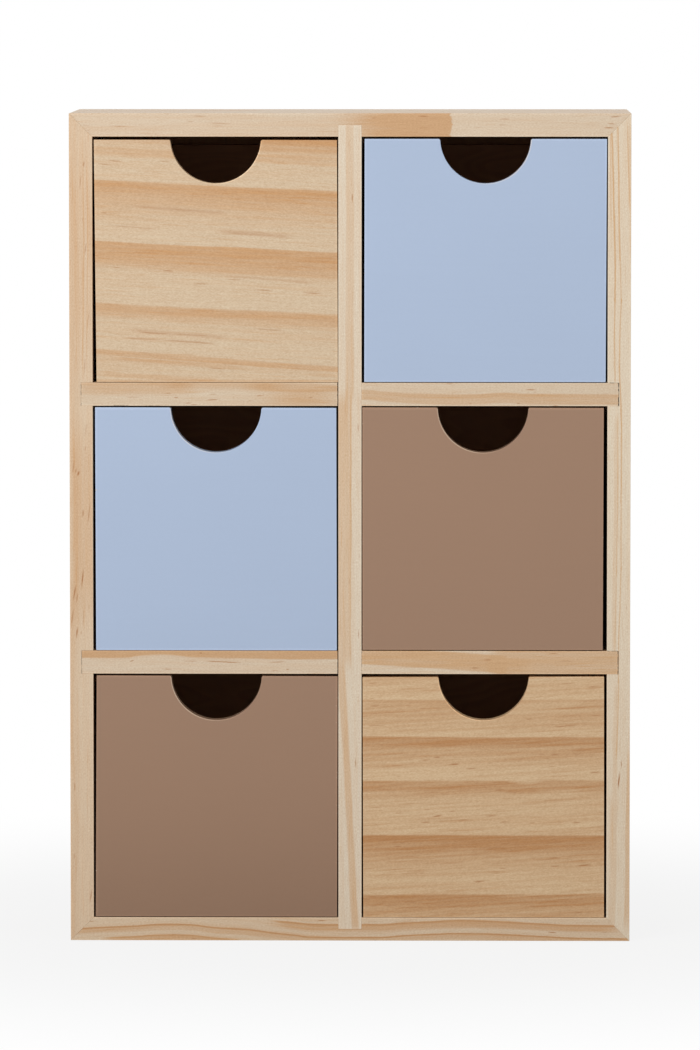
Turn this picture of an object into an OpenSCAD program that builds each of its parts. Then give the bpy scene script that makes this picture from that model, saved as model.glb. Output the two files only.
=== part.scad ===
// Desktop mini drawers: a mitred wooden cabinet of two columns and three rows,
// with six small drawers that pull out by a half-round finger notch.
// The origin is at the middle of the underside. The front faces -Y, and +Z is up.

/* [Cabinet] */
// Thickness of the outer boards, the divider and the shelves
board_t = 9; // [8:0.5:14]
// Clear width of one drawer bay
bay_w = 95; // [80:1:150]
// Clear height of one drawer bay
bay_h = 95; // [70:1:150]
// Depth of the cabinet, from its front edges to its back
depth = 85; // [70:1:200]
// Depth of the housings that hold the divider and the shelves
housing = 4.5; // [2:0.5:6]
// Play along each shelf, between its housing and the divider
shelf_play = 0.3; // [0:0.1:0.8]

/* [Back panel] */
// Thickness of the back panel
back_t = 3; // [2:0.5:5]
// Width of the rebate round the back, counted from the bays outwards
rebate_w = 5; // [3:0.5:6]
// Play between the edges of the back panel and its rebate
back_play = 0.2; // [0.1:0.1:0.5]

/* [Drawer fronts] */
// Thickness of a drawer front
front_t = 7; // [6:0.5:12]
// Gap on each side of a drawer front that stands in the middle of its bay
side_gap = 0.85; // [0.5:0.05:2]
// Gap over a drawer front
top_gap = 0.9; // [0.5:0.1:3]
// Gap under a drawer front
bottom_gap = 0.3; // [0.3:0.1:1]
// Diameter of the finger notch
notch_d = 35; // [20:1:50]
// Height of the notch's centre over the top edge of the front
notch_rise = 0.4; // [0:0.1:5]

/* [Drawer boxes] */
// Thickness of a drawer's side walls and back
wall_t = 5; // [4:0.5:8]
// Thickness of a drawer's bottom
bottom_t = 3; // [2:0.5:4]
// Height of a drawer's bottom over the lower edges of its walls
bottom_lift = 4; // [3:0.5:8]
// Depth of the grooves and rebates that join a drawer's pieces
groove = 2; // [1:0.5:3]
// How far the side walls stand in from the ends of the front
wall_inset = 0.4; // [0:0.1:2]
// How far the walls stop below the top edge of the front
rim_drop = 4; // [0:0.5:20]
// Gap between a drawer's walls and the board that they run on
run_gap = 0.2; // [0.1:0.1:0.3]
// Gap between a closed drawer and the back panel
rear_gap = 0.5; // [0.3:0.1:3]

/* [Fasteners] */
// Diameter of the brads' shanks
brad_d = 1.2; // [1:0.1:1.6]
// Diameter of the brads' heads
brad_head_d = 2.2; // [1.8:0.1:2.8]
// Thickness of the brads' heads
brad_head_t = 0.6; // [0.4:0.1:1]
// Length of the brads that hold the boards
board_brad_l = 16; // [12:1:20]
// Length of the brads that hold the back panel and the drawers' backs
panel_brad_l = 12; // [8:1:16]
// Diameter of the dowels that pass through the divider
dowel_d = 4; // [3:0.5:5]
// How far each dowel reaches into a shelf
dowel_reach = 8; // [5:1:15]
// Radial play round each brad and dowel
hole_play = 0.05; // [0.02:0.01:0.1]
// Distance of the boards' brads and dowels from the boards' front and rear edges
fastener_inset = 18; // [12:1:24]

/* [Hidden] */
PINE = [0.84, 0.73, 0.60];
PALE_BLUE = [0.68, 0.75, 0.86];
TAUPE = [0.60, 0.49, 0.41];
PLYWOOD = [0.63, 0.42, 0.26];
BEECH = [0.80, 0.63, 0.44];
STEEL = [0.62, 0.62, 0.64];

COLUMNS = 2;
ROWS = 3;
inner_w = COLUMNS * bay_w + (COLUMNS - 1) * board_t;
inner_h = ROWS * bay_h + (ROWS - 1) * board_t;
width = inner_w + 2 * board_t;
height = inner_h + 2 * board_t;
front_y = -depth / 2;
rear_y = depth / 2;
panel_y = rear_y - back_t;
// The two places, from front to rear, of the boards' brads and dowels
fastener_ys = [front_y + fastener_inset, panel_y - fastener_inset];

front_w = bay_w - 2 * side_gap;
front_h = bay_h - top_gap - bottom_gap;
front_top = bottom_gap + front_h;
drawer_l = depth - back_t - rear_gap;
// Half the width of a drawer over its walls, and between them
outer_half = front_w / 2 - wall_inset;
inner_half = outer_half - wall_t;
rim_z = front_top - rim_drop;
bottom_z = run_gap + bottom_lift;
floor_z = bottom_z + bottom_t;

// Extra length of a cut past the face where it starts or ends
PAST = 1;
$fn = 96;
BRAD_FN = 24;

// Name, finish, and how far the drawer stands to the right in its bay as a share of
// the side gap. The drawers are in reading order, from the top left.
DRAWERS = [
    ["top_left_drawer", PINE, 0.15],
    ["top_right_drawer", PALE_BLUE, 0.35],
    ["middle_left_drawer", PALE_BLUE, 0.25],
    ["middle_right_drawer", TAUPE, -0.65],
    ["bottom_left_drawer", TAUPE, 0.3],
    ["bottom_right_drawer", PINE, -0.25],
];

// The shelves in the same order
SHELVES = ["upper_left_shelf", "upper_right_shelf", "lower_left_shelf", "lower_right_shelf"];

DRAWER_PIECES = ["front", "left_wall", "right_wall", "back", "bottom", "brads"];

// Column of the drawer or shelf at a place in its list
function column_at(place) = place % COLUMNS;

// Row of the drawer at a place in its list, from the bottom up. A shelf's row is that
// of the bays that lie under it, one lower.
function row_at(place) = ROWS - 1 - floor(place / COLUMNS);

// Left edge of a column of bays
function bay_x(column) = -inner_w / 2 + column * (bay_w + board_t);

// Floor of a row of bays
function bay_z(row) = board_t + row * (bay_h + board_t);

// Underside of the shelf over a row of bays
function shelf_z(row) = bay_z(row) + bay_h;

// The quarter points of a stretch, where two fasteners share it evenly
function quarters(start, length) = [start + length / 4, start + length * 3 / 4];

// A block between two opposite corners
module block(low, high) {
    translate(low) cube(high - low);
}

// An outline drawn in X and Z, run from the front edges to the back
module board_outline(points) {
    translate([0, rear_y, 0]) rotate([90, 0, 0]) linear_extrude(depth) polygon(points);
}

// A brad with its head at the origin and its shank along +Z, or its hole with some play
module brad(length, play = 0) {
    translate([0, 0, -play]) cylinder(r = brad_head_d / 2 + play, h = brad_head_t + play, $fn = BRAD_FN);
    cylinder(r = brad_d / 2 + play, h = length + play, $fn = BRAD_FN);
}

// Brads at the mitres: down from the top board and up from the bottom board
module place_corner_brads(play = 0) {
    for (side = [-1, 1], y = fastener_ys) {
        translate([side * (width - board_t) / 2, y, 0]) {
            brad(board_brad_l, play);
            translate([0, 0, height]) rotate([180, 0, 0]) brad(board_brad_l, play);
        }
    }
}

// Brads through the top and bottom boards into the ends of the divider
module place_divider_brads(play = 0) {
    for (y = fastener_ys) {
        translate([0, y, 0]) brad(board_brad_l, play);
        translate([0, y, height]) rotate([180, 0, 0]) brad(board_brad_l, play);
    }
}

// Brads through the sides into the ends of the shelves
module place_shelf_brads(play = 0) {
    for (row = [0 : ROWS - 2], y = fastener_ys, side = [-1, 1]) {
        translate([side * width / 2, y, shelf_z(row) + board_t / 2])
            rotate([0, -side * 90, 0]) brad(board_brad_l, play);
    }
}

// Dowels through the divider into the shelves on both sides of it
module place_dowels(play = 0) {
    dowel_l = board_t + 2 * dowel_reach;
    for (row = [0 : ROWS - 2], y = fastener_ys) {
        translate([0, y, shelf_z(row) + board_t / 2]) rotate([0, 90, 0])
            cylinder(r = dowel_d / 2 + play, h = dowel_l + 2 * play, center = true, $fn = 48);
    }
}

// Brads through the back panel into the outer boards and the divider
module place_panel_brads(play = 0) {
    edge_x = inner_w / 2 + rebate_w / 2;
    edge_z = [board_t - rebate_w / 2, height - board_t + rebate_w / 2];
    at_uprights = [for (row = [0 : ROWS - 1], z = quarters(bay_z(row), bay_h), x = [-edge_x, 0, edge_x]) [x, z]];
    at_top_and_bottom = [for (column = [0 : COLUMNS - 1], x = quarters(bay_x(column), bay_w), z = edge_z) [x, z]];
    for (place = concat(at_uprights, at_top_and_bottom)) {
        translate([place.x, rear_y, place.y]) rotate([90, 0, 0]) brad(panel_brad_l, play);
    }
}

// The space of the rebate round the back
module rebate() {
    half = inner_w / 2 + rebate_w;
    block([-half, panel_y, board_t - rebate_w], [half, rear_y + PAST, height - board_t + rebate_w]);
}

// The space of the divider, from the bottom board's housing to the top board's
module divider_space() {
    block([-board_t / 2, front_y, board_t - housing], [board_t / 2, panel_y, height - board_t + housing]);
}

// The space of a shelf, from the divider to the bottom of its housing. A left-hand
// shelf stands at the bottom of its housing, and a right-hand one against the divider.
module shelf_space(place, play) {
    far_end = inner_w / 2 + housing;
    column = column_at(place);
    z = shelf_z(row_at(place) - 1);
    low_x = column == 0 ? -far_end : board_t / 2;
    high_x = column == 0 ? -board_t / 2 - play : far_end - play;
    block([low_x, front_y, z], [high_x, panel_y, z + board_t]);
}

module all_shelf_spaces() {
    for (place = [0 : len(SHELVES) - 1]) shelf_space(place, 0);
}

module top_board() {
    color(PINE) difference() {
        board_outline([
            [-width / 2, height],
            [width / 2, height],
            [inner_w / 2, height - board_t],
            [-inner_w / 2, height - board_t],
        ]);
        divider_space();
        rebate();
        place_corner_brads(hole_play);
        place_divider_brads(hole_play);
        place_panel_brads(hole_play);
    }
}

module bottom_board() {
    color(PINE) difference() {
        board_outline([
            [-width / 2, 0],
            [width / 2, 0],
            [inner_w / 2, board_t],
            [-inner_w / 2, board_t],
        ]);
        divider_space();
        rebate();
        place_corner_brads(hole_play);
        place_divider_brads(hole_play);
        place_panel_brads(hole_play);
    }
}

// One side board: side is -1 on the left and 1 on the right
module side_board(side) {
    color(PINE) difference() {
        board_outline([
            [side * width / 2, 0],
            [side * width / 2, height],
            [side * inner_w / 2, height - board_t],
            [side * inner_w / 2, board_t],
        ]);
        all_shelf_spaces();
        rebate();
        place_corner_brads(hole_play);
        place_shelf_brads(hole_play);
        place_panel_brads(hole_play);
    }
}

module centre_divider() {
    color(PINE) difference() {
        divider_space();
        place_divider_brads(hole_play);
        place_dowels(hole_play);
        place_panel_brads(hole_play);
    }
}

module shelf(place) {
    color(PINE) difference() {
        shelf_space(place, shelf_play);
        place_shelf_brads(hole_play);
        place_dowels(hole_play);
    }
}

module back_panel() {
    half = inner_w / 2 + rebate_w - back_play;
    edge = board_t - rebate_w + back_play;
    color(PLYWOOD) difference() {
        block([-half, panel_y, edge], [half, rear_y, height - edge]);
        place_panel_brads(hole_play);
    }
}

module back_panel_brads() {
    color(STEEL) place_panel_brads();
}

module corner_brads() {
    color(STEEL) place_corner_brads();
}

module divider_brads() {
    color(STEEL) place_divider_brads();
}

module shelf_brads() {
    color(STEEL) place_shelf_brads();
}

module shelf_dowels() {
    color(BEECH) place_dowels();
}

// A drawer is drawn with X from its middle, Y from the face of its front and Z from
// the floor of its bay. This puts the drawer at a place in the list in its bay.
module in_bay(place) {
    lean = DRAWERS[place][2] * side_gap;
    middle_x = bay_x(column_at(place)) + bay_w / 2 + lean;
    translate([middle_x, front_y, bay_z(row_at(place))]) children();
}

// The space of a drawer's bottom, which its side walls and front are grooved for
module drawer_bottom_space() {
    half = inner_half + groove;
    block([-half, front_t - groove, bottom_z], [half, drawer_l, floor_z]);
}

// The space of a side wall, from its rebate in the front to the drawer's rear end
module wall_space(side) {
    near = side * inner_half;
    far = side * outer_half;
    block([min(near, far), front_t - groove, run_gap], [max(near, far), drawer_l, rim_z]);
}

// Brads through the side walls into the ends of the drawer's back
module place_drawer_brads(play = 0) {
    for (side = [-1, 1], z = quarters(floor_z, rim_z - floor_z)) {
        translate([side * outer_half, drawer_l - wall_t / 2, z])
            rotate([0, -side * 90, 0]) brad(panel_brad_l, play);
    }
}

module drawer_front(finish) {
    color(finish) difference() {
        block([-front_w / 2, 0, bottom_gap], [front_w / 2, front_t, front_top]);
        translate([0, -PAST, front_top + notch_rise]) rotate([-90, 0, 0])
            cylinder(d = notch_d, h = front_t + 2 * PAST);
        // The rebates for the side walls run out at the ends of the front
        for (side = [-1, 1]) end_rebate(side);
        drawer_bottom_space();
    }
}

// The rebate in one end of the front, which the side wall is glued into
module end_rebate(side) {
    near = side * inner_half;
    far = side * (front_w / 2 + PAST);
    block([min(near, far), front_t - groove, bottom_gap - PAST], [max(near, far), front_t + PAST, rim_z]);
}

// One side wall: side is -1 on the left and 1 on the right
module drawer_wall(side) {
    color(PLYWOOD) difference() {
        wall_space(side);
        drawer_bottom_space();
        place_drawer_brads(hole_play);
    }
}

module drawer_back() {
    color(PLYWOOD) difference() {
        block([-inner_half, drawer_l - wall_t, floor_z], [inner_half, drawer_l, rim_z]);
        place_drawer_brads(hole_play);
    }
}

module drawer_bottom() {
    color(PLYWOOD) drawer_bottom_space();
}

module drawer_brads() {
    color(STEEL) place_drawer_brads();
}

top_board();
bottom_board();
side_board(-1);  // left_side
side_board(1);  // right_side
centre_divider();
for (place = [0 : len(SHELVES) - 1]) {
    shelf(place);
}
back_panel();
back_panel_brads();
corner_brads();
divider_brads();
shelf_brads();
shelf_dowels();
for (place = [0 : len(DRAWERS) - 1]) in_bay(place) {
    name = DRAWERS[place][0];
    drawer_front(DRAWERS[place][1]);
    drawer_wall(-1);
    drawer_wall(1);
    drawer_back();
    drawer_bottom();
    drawer_brads();
}
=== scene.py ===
"""Desktop mini drawers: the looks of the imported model.

A mitred pine cabinet of two columns and three rows, with six small drawers that pull
out by a half-round finger notch. Every piece is made in metres in the model's own
frame: X to the right, Y to the back and Z up, with the origin under the middle.
"""
import math

import bmesh
import bpy
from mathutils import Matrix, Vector


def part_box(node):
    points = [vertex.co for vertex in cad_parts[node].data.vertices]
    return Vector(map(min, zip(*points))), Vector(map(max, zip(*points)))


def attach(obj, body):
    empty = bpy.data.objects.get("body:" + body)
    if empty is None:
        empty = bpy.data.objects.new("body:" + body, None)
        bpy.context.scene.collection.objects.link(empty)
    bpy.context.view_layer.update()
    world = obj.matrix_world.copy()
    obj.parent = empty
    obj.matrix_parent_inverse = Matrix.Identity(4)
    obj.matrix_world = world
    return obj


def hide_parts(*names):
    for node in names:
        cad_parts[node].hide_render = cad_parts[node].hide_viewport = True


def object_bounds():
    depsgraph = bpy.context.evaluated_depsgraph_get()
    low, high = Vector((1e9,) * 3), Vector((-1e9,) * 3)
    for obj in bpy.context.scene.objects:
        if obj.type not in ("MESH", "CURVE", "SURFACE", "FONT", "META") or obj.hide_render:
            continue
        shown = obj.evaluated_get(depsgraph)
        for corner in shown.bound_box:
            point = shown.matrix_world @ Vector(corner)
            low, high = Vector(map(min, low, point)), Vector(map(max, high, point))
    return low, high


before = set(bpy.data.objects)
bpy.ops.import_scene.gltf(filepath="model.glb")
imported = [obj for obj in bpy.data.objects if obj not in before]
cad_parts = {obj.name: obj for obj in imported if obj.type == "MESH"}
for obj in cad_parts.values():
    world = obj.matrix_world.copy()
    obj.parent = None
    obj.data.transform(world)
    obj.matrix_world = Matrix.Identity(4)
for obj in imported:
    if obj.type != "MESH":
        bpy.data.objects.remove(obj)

cad_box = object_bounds()

bl_info = {
    "name": "Desktop Mini Drawers",
    "version": (1, 0, 0),
    "blender": (4, 5, 0),
    "location": "View3D > Sidebar > Mini Drawers",
    "description": "Dresses a small pine cabinet with six notched drawers",
    "category": "Object",
}

MM = 0.001
PER_METRE = 1000.0
X, Y, Z = 0, 1, 2

# Points this near are one point, and points this near to a plane lie on it
MERGED = 0.001 * MM
CLOSE = 0.02 * MM

# Faces that meet at less than FLAT are one face, and at more than SHARP they make an edge
# that is eased. CURVED_FLAT is small enough to leave the steps of a notch's arc
FLAT = math.radians(0.5)
CURVED_FLAT = math.radians(0.05)
SHARP = math.radians(25)
BEVEL_SHARP = math.radians(40)

CABINET_LOW, CABINET_HIGH = cad_box
FRONT_Y = CABINET_LOW.y
BAY_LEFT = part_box("left_side")[1].x
BAY_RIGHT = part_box("right_side")[0].x
BAY_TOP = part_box("top_board")[0].z
BAY_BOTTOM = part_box("bottom_board")[1].z
BOARD_THICKNESS = 9.0 * MM

# The finger notch: its radius, the height of its centre over the front's top edge, the
# share of the front's width beside it, and the steps of its arc and of its corners
NOTCH_RADIUS = 17.5 * MM
NOTCH_RISE = 0.4 * MM
NOTCH_SIDE = 0.32
NOTCH_STEPS = 96
CORNER_STEPS = 6

# How far a right-hand shelf is drawn into the play at the end of its housing
SHELF_REACH = 0.2 * MM

# How much the edges of a front are eased, as shares of its arris
FACE_EASE = 1.0
FOOT_EASE = 0.5
REAR_EASE = 0.4
CORNER_EASE = 0.8
INNER_EASE = 0.15

# How much the other pieces are eased
PLYWOOD_EASE = 0.25 * MM
BRAD_EASE = 0.12 * MM
DOWEL_EASE = 0.3 * MM

# The stage, in metres, and the width of the camera's frame, in millimetres
FLOOR_RADIUS = 0.5
LAMP_AIM = Vector((0.0, 0.0, 0.16))
KEY_PLACE = (-0.65, -1.15, 0.75)
KEY_SIZE = 0.8
FILL_PLACE = (1.3, -1.0, 0.8)
FILL_SIZE = 1.2
CAMERA_PLACE = (0.0425, -3.0414, 0.3795)
CAMERA_AIM = Vector((-0.01413, 0.99728, -0.07237))
CAMERA_FRAME = 36.0

# Where each kind of piece starts in the noise, and how far on the next one lies
BACK_SEED = 31.0
PAINT_SEED = 41.0
PAINT_SEED_STEP = 7.0
BOX_SEED = 60.0
BOX_SEED_STEP = 3.7

SHELVES = ("upper_left_shelf", "upper_right_shelf", "lower_left_shelf", "lower_right_shelf")
DRAWERS = (
    "top_left_drawer",
    "top_right_drawer",
    "middle_left_drawer",
    "middle_right_drawer",
    "bottom_left_drawer",
    "bottom_right_drawer",
)


# ---------------------------------------------------------------- settings


def screen_colour(red, green, blue):
    """A colour as a screen shows it, from 0 to 255, in the linear values of a shader."""
    shares = (red / 255, green / 255, blue / 255)
    return tuple(
        share / 12.92 if share <= 0.04045 else ((share + 0.055) / 1.055) ** 2.4
        for share in shares
    )


def colour_setting(title, description, red, green, blue):
    """A colour that a user can change, with its default as a screen shows it."""
    return bpy.props.FloatVectorProperty(
        name=title,
        description=description,
        subtype="COLOR",
        size=3,
        min=0.0,
        max=1.0,
        default=screen_colour(red, green, blue),
    )


def number_setting(title, description, default, highest, lowest=0.0, **kind):
    """A number that a user can change."""
    return bpy.props.FloatProperty(
        name=title,
        description=description,
        min=lowest,
        max=highest,
        default=default,
        **kind,
    )


def length_setting(title, description, default, highest):
    """A small length that a user can change, with both its numbers in millimetres."""
    kind = {"subtype": "DISTANCE", "unit": "LENGTH"}
    return number_setting(title, description, default * MM, highest * MM, **kind)


def power_setting(title, description, watts):
    """A lamp's power that a user can change."""
    return number_setting(title, description, watts, 200.0, unit="POWER")


class CabinetSettings(bpy.types.PropertyGroup):
    """Sizes and colours of the pine boards and the back."""

    arris: length_setting("Arris", "Rounding of the free edges of the boards", 0.22, 2)
    joint_line: length_setting("Joint line", "Easing of the edges along the joints", 0.12, 0.5)
    early_wood: colour_setting("Early wood", "Pale wood of the boards", 219, 201, 177)
    late_wood: colour_setting("Late wood", "Dark wood of the boards' rings", 204, 163, 120)
    fleck: colour_setting("Fleck", "Resin flecks in the boards and fronts", 166, 108, 56)
    ply_face: colour_setting("Plywood face", "Faces of the plywood", 161, 107, 65)
    ply_core: colour_setting("Plywood core", "Inner plies and glue lines", 121, 74, 42)
    beech: colour_setting("Beech", "Dowels through the divider", 201, 162, 118)
    steel: colour_setting("Steel", "Brads of bare steel", 158, 158, 160)


class DrawerSettings(bpy.types.PropertyGroup):
    """Sizes and colours of the drawer fronts."""

    arris: length_setting("Arris", "Rounding of the edges of a front", 0.2, 2)
    notch_corner: length_setting("Notch corner", "Rounding of the upper corners of a notch", 0.8, 3)
    pine_pale: colour_setting("Pale pine", "Early wood, upper pine front", 209, 185, 154)
    pine_dark: colour_setting("Dark pine", "Late wood, upper pine front", 194, 145, 95)
    brown_pale: colour_setting("Pale brown pine", "Early wood, lower pine front", 213, 182, 143)
    brown_dark: colour_setting("Dark brown pine", "Late wood, lower pine front", 182, 130, 80)
    pale_blue: colour_setting("Pale blue", "Satin paint of two fronts", 171, 187, 212)
    taupe: colour_setting("Taupe", "Satin paint of two fronts", 154, 121, 97)


class StageSettings(bpy.types.PropertyGroup):
    """Light, floor and camera of the studio."""

    floor: colour_setting("Floor", "Colour of the studio floor", 172, 172, 172)
    floor_white: number_setting(
        "Floor whiteness",
        "Share of plain white in what the camera sees of the floor",
        0.86,
        1.0,
        subtype="FACTOR",
    )
    sky: number_setting("Sky light", "Even light from all round the object", 0.64, 2.0)
    key_power: power_setting("Key light", "Power of the large soft lamp over the front", 9.5)
    fill_power: power_setting("Fill light", "Power of the lamp on the other side", 1.5)
    lens: number_setting("Focal length", "On a frame of 36 mm, in millimetres", 266.4, 600.0, 20.0)


# ---------------------------------------------------------------- node trees

HERE = (0.0, 0.0, 0.0)
GREY = (0.5, 0.5, 0.5, 1.0)

# How deep the spray reaches on the edges of a front, in millimetres: full, and none
PAINT_ENDS = (6.55, 6.75)


class Wire:
    """A number that varies over a surface. Arithmetic on it adds Math nodes."""

    def __init__(self, tree, socket):
        self.tree = tree
        self.socket = socket

    def __add__(self, other):
        return self.tree.math("ADD", self, other)

    def __sub__(self, other):
        return self.tree.math("SUBTRACT", self, other)

    def __mul__(self, other):
        return self.tree.math("MULTIPLY", self, other)

    def __truediv__(self, other):
        return self.tree.math("DIVIDE", self, other)

    def __radd__(self, other):
        return self.tree.math("ADD", other, self)

    def __rsub__(self, other):
        return self.tree.math("SUBTRACT", other, self)

    def __rmul__(self, other):
        return self.tree.math("MULTIPLY", other, self)


class Tree:
    """Short calls that add nodes to one node tree and join them up."""

    def __init__(self, data):
        self.data = data
        self.sink = None

    def join(self, socket, value):
        """Links a socket to a wire or another socket, or sets its own value."""
        if isinstance(value, Wire):
            value = value.socket
        if isinstance(value, bpy.types.NodeSocket):
            self.data.links.new(value, socket)
        elif isinstance(socket.default_value, (int, float)):
            socket.default_value = value
        else:
            values = tuple(value)
            room = len(socket.default_value)
            socket.default_value = values + (1.0,) * (room - len(values))

    def node(self, kind, inputs=None, **settings):
        """Adds a node with its settings and inputs."""
        new = self.data.nodes.new("ShaderNode" + kind)
        for name, value in settings.items():
            setattr(new, name, value)
        for key, value in (inputs or {}).items():
            self.join(new.inputs[key], value)
        return new

    def give(self, **results):
        """Joins the group's outputs; underscores stand for spaces."""
        for name, value in results.items():
            self.join(self.sink[name.replace("_", " ")], value)

    def math(self, operation, *values):
        """The number from one Math node."""
        node = self.node("Math", dict(enumerate(values)), operation=operation)
        return Wire(self, node.outputs[0])

    def vector_math(self, operation, *values):
        """The vector from one Vector Math node."""
        node = self.node("VectorMath", dict(enumerate(values)), operation=operation)
        return node.outputs[0]

    def limit(self, value):
        """The value held between 0 and 1."""
        return Wire(self, self.node("Clamp", {"Value": value}).outputs[0])

    def rise(self, value, low, high):
        """0 below low, 1 above high, with a smooth step between."""
        inputs = {"Value": value, "From Min": low, "From Max": high}
        node = self.node("MapRange", inputs, interpolation_type="SMOOTHSTEP")
        return Wire(self, node.outputs["Result"])

    def parts(self, vector):
        """The three numbers of a vector."""
        node = self.node("SeparateXYZ", {0: vector})
        return [Wire(self, socket) for socket in node.outputs]

    def vector(self, x, y, z):
        """A vector from three numbers."""
        return self.node("CombineXYZ", {0: x, 1: y, 2: z}).outputs[0]

    def scaled(self, vector, scale, shift=HERE):
        """A vector times one scale, or one for each axis, then shifted."""
        if isinstance(scale, float):
            scale = (scale, scale, scale)
        return self.vector_math("MULTIPLY_ADD", vector, scale, shift)

    def noise(self, vector, scale, detail=2.0, roughness=0.5, shift=HERE):
        """Soft noise over a scaled and shifted vector, from -0.5 to 0.5."""
        place = self.scaled(vector, scale, shift)
        inputs = {"Vector": place, "Scale": 1.0, "Detail": detail, "Roughness": roughness}
        return Wire(self, self.node("TexNoise", inputs).outputs[0]) - 0.5

    def chance(self, value):
        """A random number from 0 to 1 for each whole number."""
        node = self.node("TexWhiteNoise", {"W": value}, noise_dimensions="1D")
        return Wire(self, node.outputs["Value"])

    def mix(self, factor, first, second):
        """Two colours mixed by a factor."""
        inputs = {0: factor, 6: first, 7: second}
        return self.node("Mix", inputs, data_type="RGBA").outputs[2]

    def shade(self, colour, factor):
        """A colour made lighter or darker by a factor."""
        inputs = {0: colour, "Scale": factor}
        return self.node("VectorMath", inputs, operation="SCALE").outputs[0]

    def wood_shade(self, colour, change):
        """A colour made darker and warmer below zero, lighter and paler above."""
        factors = self.vector(1.0 + change * 0.65, 1.0 + change, 1.0 + change * 1.35)
        return self.vector_math("MULTIPLY", colour, factors)

    def call(self, group, **inputs):
        """Places a node group; underscores in the names stand for spaces."""
        new = self.data.nodes.new("ShaderNodeGroup")
        new.node_tree = bpy.data.node_groups[group]
        for name, value in inputs.items():
            self.join(new.inputs[name.replace("_", " ")], value)
        return new.outputs

    def ramp(self, value, stops):
        """A number from 0 to 1 read off a line through (position, height) stops."""
        node = self.node("ValToRGB", {"Fac": value})
        marks = node.color_ramp.elements
        while len(marks) > 1:
            marks.remove(marks[-1])
        for number, (position, height) in enumerate(stops):
            mark = marks[0] if number == 0 else marks.new(position)
            mark.position = position
            mark.color = (height, height, height, 1.0)
        return Wire(self, node.outputs["Color"])

    def curve(self, value, points):
        """A number from 0 to 1 read off a smooth curve through the points."""
        node = self.node("FloatCurve", {"Value": value})
        handles = node.mapping.curves[0].points
        handles[0].location = points[0]
        handles[1].location = points[-1]
        for point in points[1:-1]:
            handles.new(*point)
        node.mapping.update()
        return Wire(self, node.outputs[0])


def new_group(name, outputs, **inputs):
    """An empty node group, and a wire from each of its inputs. Underscores stand for
    spaces in the inputs' names, and their defaults pick the kinds of their sockets."""
    data = bpy.data.node_groups.new(name, "ShaderNodeTree")
    for title, default in inputs.items():
        kind = "NodeSocketFloat"
        if isinstance(default, tuple):
            kind = "NodeSocketVector" if len(default) == 3 else "NodeSocketColor"
        title = title.replace("_", " ")
        socket = data.interface.new_socket(title, in_out="INPUT", socket_type=kind)
        socket.default_value = default
    for title in outputs:
        kind = "NodeSocketColor" if title == "Color" else "NodeSocketFloat"
        data.interface.new_socket(title, in_out="OUTPUT", socket_type=kind)
    tree = Tree(data)
    tree.sink = data.nodes.new("NodeGroupOutput").inputs
    sources = data.nodes.new("NodeGroupInput").outputs[:len(inputs)]
    return tree, *(Wire(tree, source) for source in sources)


def build_ring_distance():
    """Distance from the middle of the tree, in millimetres, for a board along X."""
    tree, vector, pith_across, pith_depth, slope, wave, seed = new_group(
        "Ring Distance",
        ("Distance",),
        Vector=HERE,
        Pith_Across=0.0,
        Pith_Depth=0.0,
        Slope=0.02,
        Wave=4.0,
        Seed=0.0,
    )
    along, across, depth = tree.parts(vector)
    shift = tree.vector(seed, seed, 0.0)
    slow = tree.noise(vector, (0.011, 0.02, 0.02), 1.0, shift=shift)
    quick = tree.noise(vector, (0.06, 0.16, 0.16), 2.0, shift=shift)
    across = across - pith_across + slow * wave * 2.0
    depth = depth - pith_depth
    radius = tree.math("SQRT", across * across + depth * depth)
    tree.give(Distance=radius + along * slope + quick * 0.7)


def build_growth_rings():
    """Late wood of the yearly rings: a slow rise, then a sharp outer edge."""
    tree, distance, spacing, seed = new_group(
        "Growth Rings",
        ("Late Wood",),
        Distance=0.0,
        Spacing=5.0,
        Seed=0.0,
    )
    years = distance / spacing
    uneven = tree.noise(tree.vector(years * 0.45, seed, 0.0), 1.0, 1.0)
    years = years + uneven * 1.1
    year = tree.math("FLOOR", years)
    share = tree.math("FRACT", years)
    strength = tree.chance(year + seed) * 0.6 + 0.4
    band = tree.math("POWER", share, 3.2)
    edge = 1.0 - tree.rise(share, 0.93, 1.0)
    tree.give(Late_Wood=band * edge * strength)


def build_grain_mark():
    """A band, line or fleck that lies along the grain, from 0 to 1."""
    tree, vector, start, end, half, softness, fade = new_group(
        "Grain Mark",
        ("Mask",),
        Vector=HERE,
        Start=HERE,
        End=HERE,
        Half_Width=0.5,
        Softness=0.3,
        Fade=5.0,
    )
    along, across = tree.parts(vector)[:2]
    start_along, start_across = tree.parts(start)[:2]
    end_along, end_across = tree.parts(end)[:2]
    share = tree.limit((along - start_along) / (end_along - start_along))
    middle = start_across + (end_across - start_across) * share
    off = tree.math("ABSOLUTE", across - middle)
    side = 1.0 - tree.rise(off, half, half + softness)
    first = tree.rise(along - start_along, 0.0, fade)
    last = tree.rise(end_along - along, 0.0, fade)
    tree.give(Mask=side * first * last)


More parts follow.
